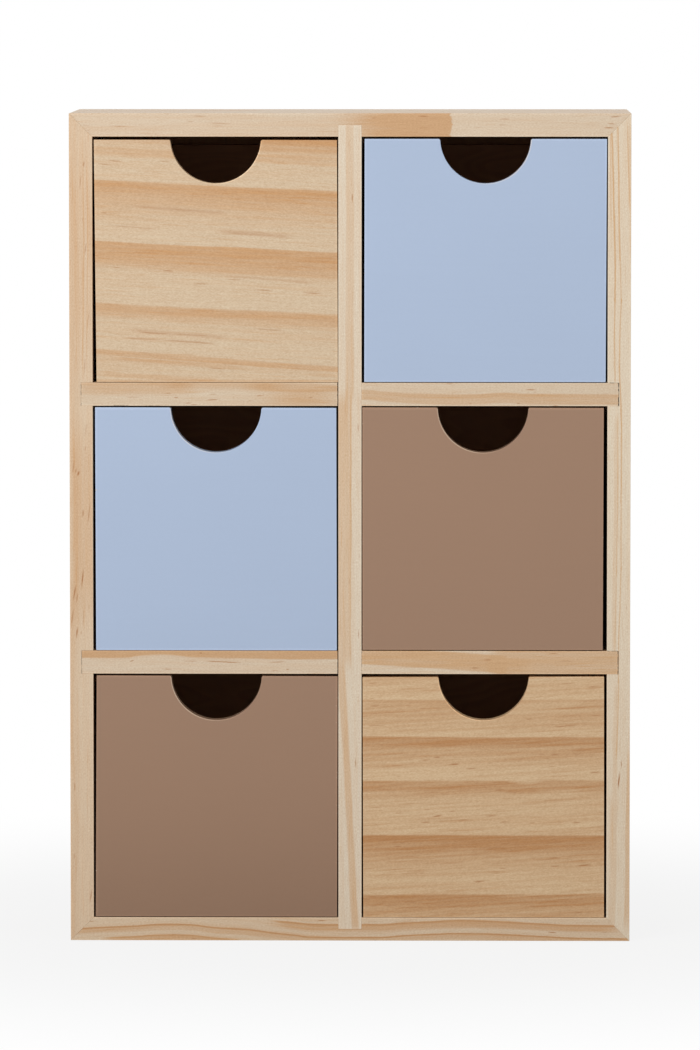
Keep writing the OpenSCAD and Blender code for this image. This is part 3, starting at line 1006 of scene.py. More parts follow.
# Along and across are millimetres in the cabinet's frame: X and Z for the boards that
# lie flat, Z and X for the upright ones.
BOARD_LOOKS = {
    "top_board": {
        "tint": (0.942, 0.918, 0.893),
        "pith": (232, 55),
        "spacing": 5.2,
        "seed": 3,
        "base": 0.1,
        "marks": (
            (-112, 313.6, -6, 313.6, 2.2, 2.6, 6, 0.1), (-112, 317, -6, 317.4, 5, 1, 6, 0.04),
        ),
        "patch": (-15.6, 24, 38.9),
        "painted_highlight_edge": 312,
        "flecks": (
            (-61.2, 319.9, -55, 319.7, 0.35, 0.6), (-93.7, 316.2, -84.4, 316, 0.3, 0.5),
            (-56.2, 317.3, -44.6, 317, 0.3, 0.5), (99.6, 319.6, 105, 319.9, 0.4, 0.7),
            (98.8, 317.3, 103, 317, 0.4, 0.6),
        ),
    },
    "bottom_board": {
        "tint": (0.938, 0.89, 0.832),
        "pith": (96, 60),
        "spacing": 4.9,
        "seed": 9,
        "base": 0.16,
        "painted_highlight_edge": 9,
        "wave": (
            (0, 0.44), (0.022, 0.497), (0.113, 0.618), (0.17, 0.682), (0.211, 0.657),
            (0.263, 0.536), (0.319, 0.47), (0.348, 0.38), (0.401, 0.25), (0.439, 0.156),
            (0.496, 0.13), (0.553, 0.142), (0.599, 0.216), (0.658, 0.281), (0.69, 0.311),
            (0.738, 0.293), (0.784, 0.238), (0.845, 0.156), (0.904, 0.094), (1, 0.108),
        ),
        "marks": (
            (-108.5, 0, 108.5, 0, 0.12, 0.35, 0.1, 0.8),
            (-108.5, -0.7, 108.5, -0.7, 0.4, 0.9, 0.1, 0.45),
            (-108.5, -1.9, 108.5, -1.9, 0.15, 0.4, 0.1, 0.25),
            (-34, 4.86, 108.5, 4.86, 0.2, 0.4, 12, 0.9), (-34, 4, 108.5, 4, 0.7, 0.8, 12, 0.6),
            (-34, 2.6, 108.5, 2.6, 0.15, 0.5, 12, 0.25),
            (-98, -4.16, -40, -4.16, 0.12, 0.35, 8, 0.8),
            (-98, -5.2, -40, -5.2, 0.8, 0.8, 8, 0.5),
        ),
        "flecks": (
            (-108.5, 0, 108.5, 0, 0.25, 0.5), (-30, 4.86, 108.5, 4.86, 0.25, 0.45),
            (-92, -4.16, -46, -4.16, 0.2, 0.35),
        ),
    },
    "left_side": {
        "tint": (0.965, 0.92, 0.87),
        "upright": True,
        "pith": (-190, 52),
        "spacing": 5.5,
        "seed": 5,
        "base": 0.14,
        "marks": (
            (0, -107, 321, -107, 1.3, 1, 1, 0.16), (196, -103.5, 330, -103.5, 6, 1, 50, 0.22),
            (200, -103.1, 321, -103.1, 0.1, 0.3, 40, 0.4),
            (200, -101.6, 321, -101.6, 0.1, 0.3, 40, 0.35),
            (112, -103, 212, -104, 3, 2, 30, 0.35),
            (60, -108.2, 150, -107.6, 0.5, 0.6, 20, 0.2),
        ),
        "flecks": (
            (299.9, -102.9, 302.8, -102.5, 0.4, 0.8), (290.8, -104.5, 298.6, -103.7, 0.3, 0.6),
            (265.9, -102.8, 271.6, -102.1, 0.35, 0.6), (237.5, -101.5, 245.9, -100.7, 0.3, 0.4),
            (220, -102.6, 227, -102.2, 0.3, 0.45), (195.6, -102.7, 202, -101.8, 0.3, 0.4),
            (189.5, -102.6, 193, -102.4, 0.3, 0.5), (180.9, -107.5, 187.6, -106.9, 0.35, 0.6),
            (181.6, -106.5, 184, -106, 0.4, 0.7), (180.4, -105.6, 183.1, -104.9, 0.6, 1),
            (164.3, -103.6, 168.2, -103.4, 0.4, 0.8), (161, -101.7, 171.5, -100.7, 0.35, 0.65),
            (136, -104.3, 146, -103.1, 0.4, 0.9), (131, -106.2, 136, -105.6, 0.35, 0.8),
            (131.5, -107.5, 139.3, -106.3, 0.4, 0.9), (121.2, -108.4, 130.6, -107.1, 0.5, 0.6),
            (121, -103.6, 130, -103.2, 0.3, 0.5), (117.1, -106.3, 122.7, -105.6, 0.45, 0.9),
            (118.8, -104.4, 121, -104.1, 0.3, 0.6), (31, -107.1, 34.5, -107, 0.5, 0.4),
            (13.9, -100.9, 20.6, -100.1, 0.4, 0.7),
        ),
        "fleck_share": 0.08,
        "seams": ((X, -104, Z, 208, 217, 0.4), (X, -104, Z, 104, 113, 0.4)),
    },
    "right_side": {
        "tint": (1.035, 1.06, 1.07),
        "upright": True,
        "pith": (185, 58),
        "spacing": 5,
        "seed": 7,
        "base": 0.08,
        "edge_rings": 0.06,
        "streaks": 0.8,
        "marks": (
            (262, 108.6, 321, 108, 0.5, 0.5, 8, 0.35),
            (281, 107.7, 321, 106.7, 0.1, 0.35, 8, 0.6),
            (264, 104, 321, 103.1, 0.1, 0.3, 1, 0.8), (248, 104.7, 266, 104, 0.08, 0.3, 1, 0.6),
            (222, 104.1, 250, 104.7, 0.08, 0.3, 1, 0.75),
            (200, 104.8, 224, 104.1, 0.08, 0.3, 1, 0.85),
            (280, 101.9, 321, 100.8, 0.14, 0.3, 1, 0.9),
            (248, 102.3, 282, 101.9, 0.14, 0.3, 1, 0.9),
            (217, 102.4, 250, 102.3, 0.1, 0.3, 1, 0.8),
            (273, 100.7, 321, 100.4, 0.1, 0.3, 8, 0.5),
            (170, 104.7, 202, 104.8, 0.08, 0.3, 1, 0.85),
            (144, 105.2, 172, 104.7, 0.08, 0.25, 1, 0.8),
            (100, 103.9, 146, 105.2, 0.08, 0.25, 1, 0.7),
            (140, 103.4, 206, 103.5, 0.08, 0.3, 4, 0.4),
            (104, 102.6, 142, 103.4, 0.08, 0.3, 4, 0.35),
            (110, 102.6, 208, 102.8, 0.5, 0.5, 8, 0.25),
            (70, 103.4, 104, 104.2, 0.08, 0.3, 4, 0.45),
            (53, 102.6, 104, 103.4, 0.6, 0.5, 8, 0.28), (0, 101.2, 60, 102.6, 1, 0.8, 8, 0.32),
            (0, 107.2, 80, 108.7, 0.9, 0.4, 12, 0.55),
        ),
        "flecks": ((58.3, 104, 66.9, 104.7, 0.45, 1),),
        "seams": (
            (X, 103.8, Z, 208, 217, 1), (X, 103.8, Z, 104, 113, 0.7),
            (Z, 217, X, 99.6, 103.8, 0.5), (Z, 113, X, 99.6, 103.8, 0.35),
        ),
    },
    "centre_divider": {
        "tint": (1.01, 1.03, 1.05),
        "upright": True,
        "pith": (-70, 50),
        "spacing": 5,
        "seed": 11,
        "base": 0.08,
        "marks": (
            (208, -0.1, 321, -0.1, 1.2, 0.7, 6, 0.4), (104, -2.3, 216, -2, 2.2, 0.7, 8, 0.44),
            (104, 0.4, 216, 0.3, 0.1, 0.3, 8, 0.4), (0, 2.4, 112, -3.6, 0.9, 0.9, 8, 0.62),
        ),
    },
    "upper_left_shelf": {
        "tint": (0.937, 0.926, 0.905),
        "pith": (140, 50),
        "spacing": 5,
        "seed": 13,
        "base": 0.18,
        "painted_highlight_edge": 208,
        "marks": (
            (-112, 214.6, -56, 215.1, 1.5, 2, 12, 0.46),
            (-78, 216.1, -20, 215.5, 0.6, 1.6, 15, 0.4),
            (-45, 215.6, 10, 214.5, 0.7, 1.4, 14, 0.46),
            (-40, 211.5, 2, 211, 2.2, 1.5, 20, 0.4),
        ),
        "flecks": (
            (-87.4, 211.5, -81, 211.6, 0.25, 0.45), (-68.4, 211.4, -66.1, 211.4, 0.35, 0.75),
            (-64.3, 209.3, -60.8, 209.5, 0.3, 0.6), (-56.3, 210.5, -50.2, 210.7, 0.35, 0.85),
            (-55, 212.8, -51, 212.8, 0.3, 0.4), (-40, 210, -37, 210.1, 0.3, 0.45),
            (-36.6, 212, -33.2, 212.2, 0.35, 0.75), (-16.4, 211.3, -14.1, 211.3, 0.35, 0.65),
        ),
        "fleck_share": 0.15,
        "seams": (
            (X, -4.75, Z, 208, 217, 0.9), (X, -104, Z, 208, 217, 0.4),
            (Z, 208.1, X, -92, -85.7, 0.7), (Z, 208, X, -79, -73, 0.5),
        ),
    },
    "upper_right_shelf": {
        "tint": (0.94, 0.925, 0.9),
        "pith": (290, 50),
        "spacing": 5,
        "seed": 15,
        "base": 0.13,
        "painted_highlight_edge": 208,
        "wave": (
            (0, 0.2), (0.522, 0.19), (0.561, 0.13), (0.641, 0.035), (0.721, 0.011),
            (0.774, 0.065), (0.814, 0.005), (0.88, 0), (1, 0),
        ),
        "marks": (
            (0, 210.6, 110, 210.6, 1.7, 0.6, 3, 0.48),
            (0, 211.8, 110, 211.8, 0.3, 0.7, 3, 0.15),
        ),
        "flecks": (
            (45.6, 209.2, 47.4, 209.2, 0.3, 0.5), (64.1, 208.8, 66, 208.8, 0.35, 0.6),
            (70.5, 213.2, 72.5, 213.2, 0.25, 0.4),
        ),
        "seams": ((X, 103.8, Z, 208, 217, 1), (Z, 217, X, 99.6, 103.8, 0.5)),
    },
    "lower_left_shelf": {
        "tint": (0.947, 0.93, 0.912),
        "pith": (40, 50),
        "spacing": 5,
        "seed": 17,
        "base": 0.12,
        "painted_highlight_edge": 104,
        "wave": (
            (0, 0.078), (0.025, 0.078), (0.104, 0.085), (0.118, 0.15), (0.161, 0.2),
            (0.214, 0.1), (0.32, 0.011), (0.478, 0), (1, 0),
        ),
        "marks": ((-108, 112.6, 0, 112.6, 2.6, 0.9, 3, 0.88),),
        "flecks": (
            (-85.7, 107.9, -83.4, 107.9, 0.35, 0.75), (-73, 103.9, -68.4, 104, 0.3, 0.6),
            (-65.5, 107.7, -58, 107.9, 0.25, 0.55), (-58.5, 111.2, -57.1, 111.2, 0.4, 0.9),
            (-57, 108.1, -41, 107.9, 0.3, 0.9), (-32.6, 108.2, -24, 108.6, 0.3, 0.65),
            (-31, 105.1, -27, 105.2, 0.3, 0.45), (-25, 105.6, -23.4, 105.6, 0.35, 0.75),
        ),
        "fleck_share": 0.12,
        "seams": ((X, -4.75, Z, 104, 113, 0.5), (X, -104, Z, 104, 113, 0.4)),
    },
    "lower_right_shelf": {
        "tint": (0.99, 1, 1),
        "pith": (180, 50),
        "spacing": 5,
        "seed": 19,
        "base": 0.2,
        "painted_highlight_edge": 104,
        "marks": (
            (0, 111.6, 62, 107.5, 2.9, 0.9, 6, 0.66), (52, 108, 112, 108, 5, 1, 8, 0.55),
            (50, 107.8, 74, 107, 1.6, 2, 10, 0.15),
        ),
        "flecks": ((51.4, 109.3, 55.4, 109.4, 0.4, 0.75), (79.7, 109.2, 87.7, 109.3, 0.25, 0.45)),
        "seams": (
            (X, 103.8, Z, 104, 113, 0.7), (Z, 113, X, 99.6, 103.8, 0.35),
            (X, 4.55, Z, 104, 113, 0.5),
        ),
    },
}

# Millimetres from the left end and below the top edge of the front. Rings are
# (place, share of late wood) down the left end.
PINE_FRONTS = {
    "top_left_drawer": {
        "slope": 0.05,
        "lean": -0.05,
        "tilt": 4.2,
        "bend": 1.6,
        "ragged": 0.5,
        "seed": 21,
        "streaks": 1.15,
        "fleck_share": 0.06,
        "rings": (
            (-6, 0.85), (-1, 0.42), (2.5, 0.24), (3.2, 0.5), (5.2, 0.45), (6.2, 0.15),
            (15.4, 0.05), (15.9, 0.72), (17.5, 0.85), (20.5, 0.66), (24, 0.42), (34, 0.06),
            (38.9, 0.03), (39.3, 0.72), (41.5, 0.85), (45, 0.72), (48.8, 0.48), (50.2, 0.14),
            (56, 0.06), (62.9, 0.03), (63.4, 0.55), (65.2, 0.72), (67.3, 0.45), (70, 0.2),
            (79.9, 0.04), (80.4, 0.1), (85.5, 0.14), (94, 0.1),
        ),
        "marks": (
            (0, 82, 94, 89, 0.9, 0.3, 0.1, 0.34), (0, 83.2, 94, 90.4, 1.3, 1.2, 0.1, 0.14),
            (2, 84.2, 62, 89, 0.3, 0.5, 12, 0.3), (0, 91, 50, 93, 0.4, 0.8, 6, 0.2),
            # The line at 93.5 across darkens the front's foot as painted shade
            (0, 93.5, 94, 93.5, 0.3, 0.5, 0.1, 0.35), (52, 1.2, 110, 3.4, 2.2, 2.2, 16, 0.4),
        ),
        "flecks": (
            (4.1, 8.1, 11.4, 8.6, 0.35, 0.75), (0.6, 9.4, 7.6, 10.1, 0.3, 0.65),
            (23.8, 8.3, 30.8, 8.7, 0.35, 0.45), (26.9, 26.6, 43.9, 27.8, 0.5, 0.45),
            (36.7, 27.3, 42.8, 27.8, 0.5, 0.5), (2, 28.2, 5, 28.4, 0.3, 0.7),
            (46, 35.2, 77, 38, 1.3, 0.3), (49.9, 36, 72.8, 37.7, 0.8, 0.42),
            (58.4, 35.3, 70.5, 37.2, 0.5, 0.36), (14, 25.6, 52, 28.6, 0.9, 0.3),
            (5, 33.2, 26, 34.6, 0.4, 0.35), (48, 52.8, 86, 55.6, 0.7, 0.25),
            (12, 73.6, 52, 77, 1.2, 0.22), (50, 54.2, 57.3, 54.6, 0.35, 0.55),
            (37.5, 55.7, 44.9, 56.1, 0.35, 0.55), (60.7, 58.2, 69.7, 58.8, 0.35, 0.7),
            (79.3, 59.1, 88.6, 59.7, 0.35, 0.7), (14.9, 74.4, 31.2, 75.5, 0.45, 0.6),
            (28.2, 75.2, 45.9, 76.3, 0.5, 0.5), (9.7, 76.6, 26.4, 77.5, 0.45, 0.5),
            (25.1, 77.5, 47.5, 79.2, 0.5, 0.5), (60.5, 73.4, 74.5, 74.1, 0.4, 0.5),
            (42.9, 88.2, 51.1, 88.7, 0.35, 0.5),
        ),
    },
    "bottom_right_drawer": {
        "slope": 0,
        "lean": 0.06,
        "tilt": -4,
        "bend": 1.4,
        "ragged": 0.45,
        "seed": 27,
        "streaks": 1.7,
        "fleck_share": 0.2,
        "rings": (
            (-6, 0.2), (3, 0.24), (8.9, 0.12), (9.4, 0.66), (10.6, 0.38), (15, 0.4),
            (19.5, 0.3), (23.3, 0.12), (23.8, 0.82), (26.2, 0.78), (28.2, 0.52), (33, 0.34),
            (36.5, 0.14), (40.2, 0.1), (40.8, 0.72), (43.5, 0.7), (45.2, 0.38), (49, 0.22),
            (61.6, 0.12), (62.2, 0.94), (66, 0.84), (68.8, 0.54), (72.5, 0.4), (75.5, 0.22),
            (79, 0.14), (84.7, 0.12), (85.3, 0.78), (88.3, 0.74), (90.6, 0.5), (94, 0.42),
        ),
        "knots": ((50, 45, 74, 42.5, 0.6, 5, 11, -1.5),),
        "flecks": (
            (82, 73.9, 89.5, 73.2, 0.45, 0.9), (42, 80, 48, 79.9, 0.5, 0.7),
            (32.9, 34.5, 38, 34.2, 0.45, 0.8), (27, 31.7, 30.5, 31.5, 0.4, 0.7),
            (39, 36.1, 45, 35.8, 0.4, 0.6), (26, 54.7, 31.5, 53.9, 0.4, 0.8),
            (46.5, 54.5, 53, 54.1, 0.4, 0.6), (36.5, 55.9, 41.5, 55.6, 0.35, 0.55),
            (33, 52.6, 36.2, 52.4, 0.4, 0.6), (52.5, 56.9, 57, 56.6, 0.35, 0.6),
            (80, 57.1, 85.5, 56.8, 0.35, 0.6), (87, 37.5, 93, 37.1, 0.4, 0.7),
            (87, 15.2, 93.4, 15, 0.3, 0.6), (86, 4.4, 93.4, 4.2, 0.3, 0.7),
            (73, 19.7, 81.5, 19.4, 0.35, 0.55), (77, 19.1, 83.4, 18.8, 0.3, 0.5),
            (74, 3.1, 83, 2.8, 0.3, 0.5), (11.5, 53.1, 16.5, 52.8, 0.3, 0.5),
            (2, 50.9, 8, 50.6, 0.35, 0.5), (0.5, 19.2, 9.5, 19, 0.3, 0.5),
            (64, 57.3, 67, 57.1, 0.3, 0.5),
        ),
    },
}


# ---------------------------------------------------------------- shaping pieces


def merge_faces(shape, angle):
    """Joins points that are one and faces that lie in one plane."""
    bmesh.ops.remove_doubles(shape, verts=shape.verts, dist=MERGED)
    bmesh.ops.dissolve_limit(shape, angle_limit=angle, verts=shape.verts, edges=shape.edges)


def merged_node(name):
    """A working copy of a CAD node, with its triangles merged into whole faces."""
    shape = bmesh.new()
    shape.from_mesh(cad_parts[name].data)
    merge_faces(shape, FLAT)
    return shape


def cut_across(shape, axis, places):
    """Splits the faces where they cross a plane, so that edges can change there."""
    for place in places:
        where = Vector(HERE)
        where[axis] = place
        normal = Vector(HERE)
        normal[axis] = 1.0
        bmesh.ops.bisect_plane(
            shape,
            geom=shape.verts[:] + shape.edges[:] + shape.faces[:],
            dist=CLOSE,
            plane_co=where,
            plane_no=normal,
        )


def weigh_edges(shape, weight_of):
    """Writes how much each sharp edge is eased, and keeps the others crisp."""
    layer = shape.edges.layers.float.new("bevel_weight_edge")
    for edge in shape.edges:
        if len(edge.link_faces) != 2 or edge.calc_face_angle(0.0) < SHARP:
            continue
        edge[layer] = weight_of(edge)
        edge.smooth = edge[layer] > 0.0


def keep_faces_flat(piece):
    """Lets the large faces set the shading, so that only the eased edges look round."""
    weighted = piece.modifiers.new("Flat faces", "WEIGHTED_NORMAL")
    weighted.mode = "FACE_AREA"
    weighted.weight = 100
    weighted.keep_sharp = True


def new_object(name, shape):
    """Puts the shape into the scene as an object."""
    mesh = bpy.data.meshes.new(name)
    shape.to_mesh(mesh)
    shape.free()
    item = bpy.data.objects.new(name, mesh)
    bpy.context.scene.collection.objects.link(item)
    return item


def add_piece(shape, node, body, slot, material, arris):
    """Makes the shaped mesh a piece that stands for its CAD node."""
    for face in shape.faces:
        face.smooth = True
    piece = new_object("worked_" + node, shape)
    piece.data.materials.append(material)
    bevel = piece.modifiers.new("Arris", "BEVEL")
    bevel.limit_method = "WEIGHT"
    bevel.width = arris
    bevel.segments = 3
    keep_faces_flat(piece)
    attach(piece, body)
    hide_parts(node)


def middle_of(edge):
    """The point halfway along an edge."""
    return (edge.verts[0].co + edge.verts[1].co) / 2


def shape_board(node, free_planes, joint_zones, settings):
    """One board: soft free edges, and crisp ones where it meets another piece.
    free_planes are (axis, place); joint_zones are (axis, from, to)."""
    shape = merged_node(node)
    low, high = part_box(node)
    for axis, *ends in joint_zones:
        first, last = low[axis] + CLOSE, high[axis] - CLOSE
        cut_across(shape, axis, [place for place in ends if first < place < last])
    joint = settings.joint_line / settings.arris

    def is_free(face):
        """Whether a face lies wholly in one of the free planes."""
        return any(
            all(abs(vertex.co[axis] - place) < CLOSE for vertex in face.verts)
            for axis, place in free_planes
        )

    def weight_of(edge):
        """1 for a free edge, less for any other, and 0 for a very short one."""
        if edge.calc_length() < 1.0 * MM:
            return 0.0
        place = middle_of(edge)
        in_joint = any(start < place[axis] < end for axis, start, end in joint_zones)
        if all(is_free(face) for face in edge.link_faces) and not in_joint:
            return 1.0
        return joint

    weigh_edges(shape, weight_of)
    return shape


def block(low, high):
    """A plain cutting block between two corners."""
    shape = bmesh.new()
    bmesh.ops.create_cube(shape, size=1.0)
    for vertex in shape.verts:
        for axis in (X, Y, Z):
            vertex.co[axis] = low[axis] if vertex.co[axis] < 0 else high[axis]
    return shape


# How much each hand-cut front is trimmed on its left and right (at the top, at the foot),
# above and below (on the left, on the right), in millimetres. Below zero, it is larger.
FRONT_TRIMS = {
    "top_left_drawer": ((-0.36, 0.53), (-0.2, -0.6), (0.28, 0.42), (-0.1, -0.18)),
    "top_right_drawer": ((0.02, -0.15), (-0.18, 0.17), (-0.08, -0.06), (0.0, 0.0)),
    "middle_left_drawer": ((-0.18, 0.05), (0.14, -0.05), (-0.32, -0.12), (-0.15, -0.15)),
    "middle_right_drawer": ((-0.04, 0.04), (-0.02, 0.2), (-0.37, -0.2), (0.05, 0.05)),
    "bottom_left_drawer": ((0.16, -0.42), (-0.35, -0.08), (-0.2, 0.06), (0.0, 0.0)),
    "bottom_right_drawer": ((-0.28, 0.02), (-0.02, -0.22), (0.42, 0.04), (-0.2, -0.18)),
}


def notched_outline(low, high, corner, trims):
    """The front's outline seen from the front, as (x, z) points, with the finger notch
    in its top edge and small rounded corners beside it."""
    middle = (low.x + high.x) / 2
    centre_z = high.z + NOTCH_RISE
    left, right, above, below = ([trim * MM for trim in pair] for pair in trims)
    # The little corner circles touch the top edge and the notch's arc
    reach = NOTCH_RADIUS + corner

    def corner_circle(side, trim):
        """The points of one corner circle, and the angle at which the arc meets it."""
        corner_z = high.z - trim - corner
        corner_x = math.sqrt(reach ** 2 - (centre_z - corner_z) ** 2)
        touch = math.atan2(centre_z - corner_z, -corner_x)
        points = []
        for step in range(CORNER_STEPS + 1):
            angle = math.pi / 2 + (touch - math.pi / 2) * step / CORNER_STEPS
            x = middle + side * (corner_x + corner * math.cos(angle))
            points.append((x, corner_z + corner * math.sin(angle)))
        return points, math.atan2(corner_z - centre_z, corner_x)

    above_left = above[0] + (above[1] - above[0]) * NOTCH_SIDE
    above_right = above[1] + (above[0] - above[1]) * NOTCH_SIDE
    right_corner, first = corner_circle(1.0, above_right)
    left_corner, last = corner_circle(-1.0, above_left)
    last = -math.pi - last
    points = [(low.x + left[1], low.z + below[0]), (high.x - right[1], low.z + below[1])]
    points.append((high.x - right[0], high.z - above[1]))
    points += right_corner
    for step in range(1, NOTCH_STEPS):
        angle = first + (last - first) * step / NOTCH_STEPS
        x = middle + NOTCH_RADIUS * math.cos(angle)
        points.append((x, centre_z + NOTCH_RADIUS * math.sin(angle)))
    points += reversed(left_corner)
    points.append((low.x + left[0], high.z - above[0]))
    return points


def shape_front(drawer, settings):
    """One drawer front with its notch, its rebates and its groove, its edges weighed."""
    low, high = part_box(drawer + "_front")
    outline = notched_outline(low, high, settings.notch_corner, FRONT_TRIMS[drawer])
    shape = bmesh.new()
    face = shape.faces.new([shape.verts.new((x, low.y, z)) for x, z in outline])
    pushed = bmesh.ops.extrude_face_region(shape, geom=[face])
    moved = [item for item in pushed["geom"] if isinstance(item, bmesh.types.BMVert)]
    bmesh.ops.translate(shape, verts=moved, vec=(0.0, high.y - low.y, 0.0))
    bmesh.ops.recalc_face_normals(shape, faces=shape.faces)
    front = new_object(drawer + "_front_blank", shape)
    past = 1.0 * MM
    wall_low, wall_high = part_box(drawer + "_left_wall")
    other_low, other_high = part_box(drawer + "_right_wall")
    floor_low, floor_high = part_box(drawer + "_bottom")
    cuts = (
        ((low.x - past, wall_low.y, low.z - past), (wall_high.x, high.y + past, wall_high.z)),
        ((other_low.x, wall_low.y, low.z - past), (high.x + past, high.y + past, other_high.z)),
        (floor_low, (floor_high.x, high.y + past, floor_high.z)),
    )
    cutters = []
    for corners in cuts:
        cutter = new_object(drawer + "_cut", block(*corners))
        cut = front.modifiers.new("Rebate", "BOOLEAN")
        cut.operation = "DIFFERENCE"
        cut.solver = "EXACT"
        cut.object = cutter
        cutters.append(cutter)
    bpy.context.view_layer.update()
    evaluated = front.evaluated_get(bpy.context.evaluated_depsgraph_get())
    cut_mesh = bpy.data.meshes.new_from_object(evaluated)
    result = bmesh.new()
    result.from_mesh(cut_mesh)
    for item in [front] + cutters:
        spare = item.data
        bpy.data.objects.remove(item)
        bpy.data.meshes.remove(spare)
    bpy.data.meshes.remove(cut_mesh)
    merge_faces(result, CURVED_FLAT)
    corners = (outline[0], outline[1], outline[2], outline[-1])

    def weight_of(edge):
        """How much an edge is eased, by where on the front it lies."""
        ends = [vertex.co.y for vertex in edge.verts]
        if all(abs(y - low.y) < CLOSE for y in ends):
            at_foot = all(vertex.co.z < low.z + 0.5 * MM for vertex in edge.verts)
            return FOOT_EASE if at_foot else FACE_EASE
        if all(abs(y - high.y) < CLOSE for y in ends):
            return REAR_EASE
        across = abs(ends[0] - ends[1]) > CLOSE
        place = middle_of(edge)
        at_corner = any(math.dist((place.x, place.z), corner) < CLOSE for corner in corners)
        return CORNER_EASE if across and at_corner else INNER_EASE

    weigh_edges(result, weight_of)
    return result


def dress_node(node, material, width):
    """Gives a CAD node that stays its material and slightly eased edges."""
    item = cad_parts[node]
    item.data.materials.clear()
    item.data.materials.append(material)
    weld = item.modifiers.new("Weld", "WELD")
    weld.merge_threshold = MERGED
    merge = item.modifiers.new("Merge", "DECIMATE")
    merge.decimate_type = "DISSOLVE"
    merge.angle_limit = FLAT
    bevel = item.modifiers.new("Arris", "BEVEL")
    bevel.width = width
    bevel.segments = 2
    bevel.limit_method = "ANGLE"
    bevel.angle_limit = BEVEL_SHARP
    keep_faces_flat(item)


# ---------------------------------------------------------------- operators


class MakeStage(bpy.types.Operator):
    """Make the floor, the soft lights, the sky and the camera"""

    bl_idname = "mini_drawers.stage"
    bl_label = "Stage"

    def execute(self, context):
        settings = context.scene.mini_drawers_stage
        scene = context.scene
        scene.view_settings.view_transform = "Standard"
        self.make_floor(settings)
        self.make_sky(scene, settings)
        self.make_lamp("Key light", KEY_PLACE, KEY_SIZE, settings.key_power)
        self.make_lamp("Fill light", FILL_PLACE, FILL_SIZE, settings.fill_power)
        self.make_camera(scene, settings)
        return {"FINISHED"}

    def make_floor(self, settings):
        """A round pale floor that takes the shadow and is near white to the camera."""
        shape = bmesh.new()
        bmesh.ops.create_circle(shape, cap_ends=True, segments=128, radius=FLOOR_RADIUS)
        floor = new_object("studio_floor", shape)
        floor.location.z = CABINET_LOW.z
        material = bpy.data.materials.new("Studio floor")
        material.use_nodes = True
        material.node_tree.nodes.clear()
        tree = Tree(material.node_tree)
        paper = tree.node("BsdfPrincipled", {"Base Color": settings.floor, "Roughness": 0.9})
        paper.inputs["Specular IOR Level"].default_value = 0.0
        white = tree.node("Emission", {"Strength": 1.0})
        path = tree.node("LightPath").outputs
        place = tree.node("TexCoord").outputs["Object"]
        far = Wire(tree, tree.node("VectorMath", {0: place}, operation="LENGTH").outputs["Value"])
        share = tree.rise(far, 0.1, 0.45) * (1.0 - settings.floor_white) + settings.floor_white
        seen = Wire(tree, path["Is Camera Ray"]) * share
        inputs = {0: seen, 1: paper.outputs[0], 2: white.outputs[0]}
        both = tree.node("MixShader", inputs)
        output = tree.node("OutputMaterial")
        tree.join(output.inputs["Surface"], both.outputs[0])
        floor.data.materials.append(material)

    def make_sky(self, scene, settings):
        """Even light from all round, which looks white to the camera and in reflections."""
        world = bpy.data.worlds.new("Studio sky")
        scene.world = world
        world.use_nodes = True
        world.node_tree.nodes.clear()
        tree = Tree(world.node_tree)
        path = tree.node("LightPath").outputs
        seen = tree.math("MAXIMUM", path["Is Camera Ray"], path["Is Glossy Ray"])
        seen = tree.math("MAXIMUM", seen, path["Is Transmission Ray"])
        strength = seen * (1.0 - settings.sky) + settings.sky
        light = tree.node("Background", {"Color": (1.0, 1.0, 1.0), "Strength": strength})
        output = tree.node("OutputWorld")
        tree.join(output.inputs["Surface"], light.outputs[0])

    def make_lamp(self, name, place, size, power):
        """A round soft lamp that points at the cabinet's middle."""
        data = bpy.data.lights.new(name, "AREA")
        data.shape = "DISK"
        data.size = size
        data.energy = power
        lamp = bpy.data.objects.new(name, data)
        lamp.location = place
        lamp.rotation_euler = (LAMP_AIM - Vector(place)).to_track_quat("-Z", "Y").to_euler()
        bpy.context.scene.collection.objects.link(lamp)

    def make_camera(self, scene, settings):
        """The camera where the photograph was taken from."""
        data = bpy.data.cameras.new("Camera")
        data.lens = settings.lens
        data.sensor_width = CAMERA_FRAME
        camera = bpy.data.objects.new("Camera", data)
        camera.location = CAMERA_PLACE
        camera.rotation_euler = CAMERA_AIM.to_track_quat("-Z", "Y").to_euler()
        scene.collection.objects.link(camera)
        scene.camera = camera


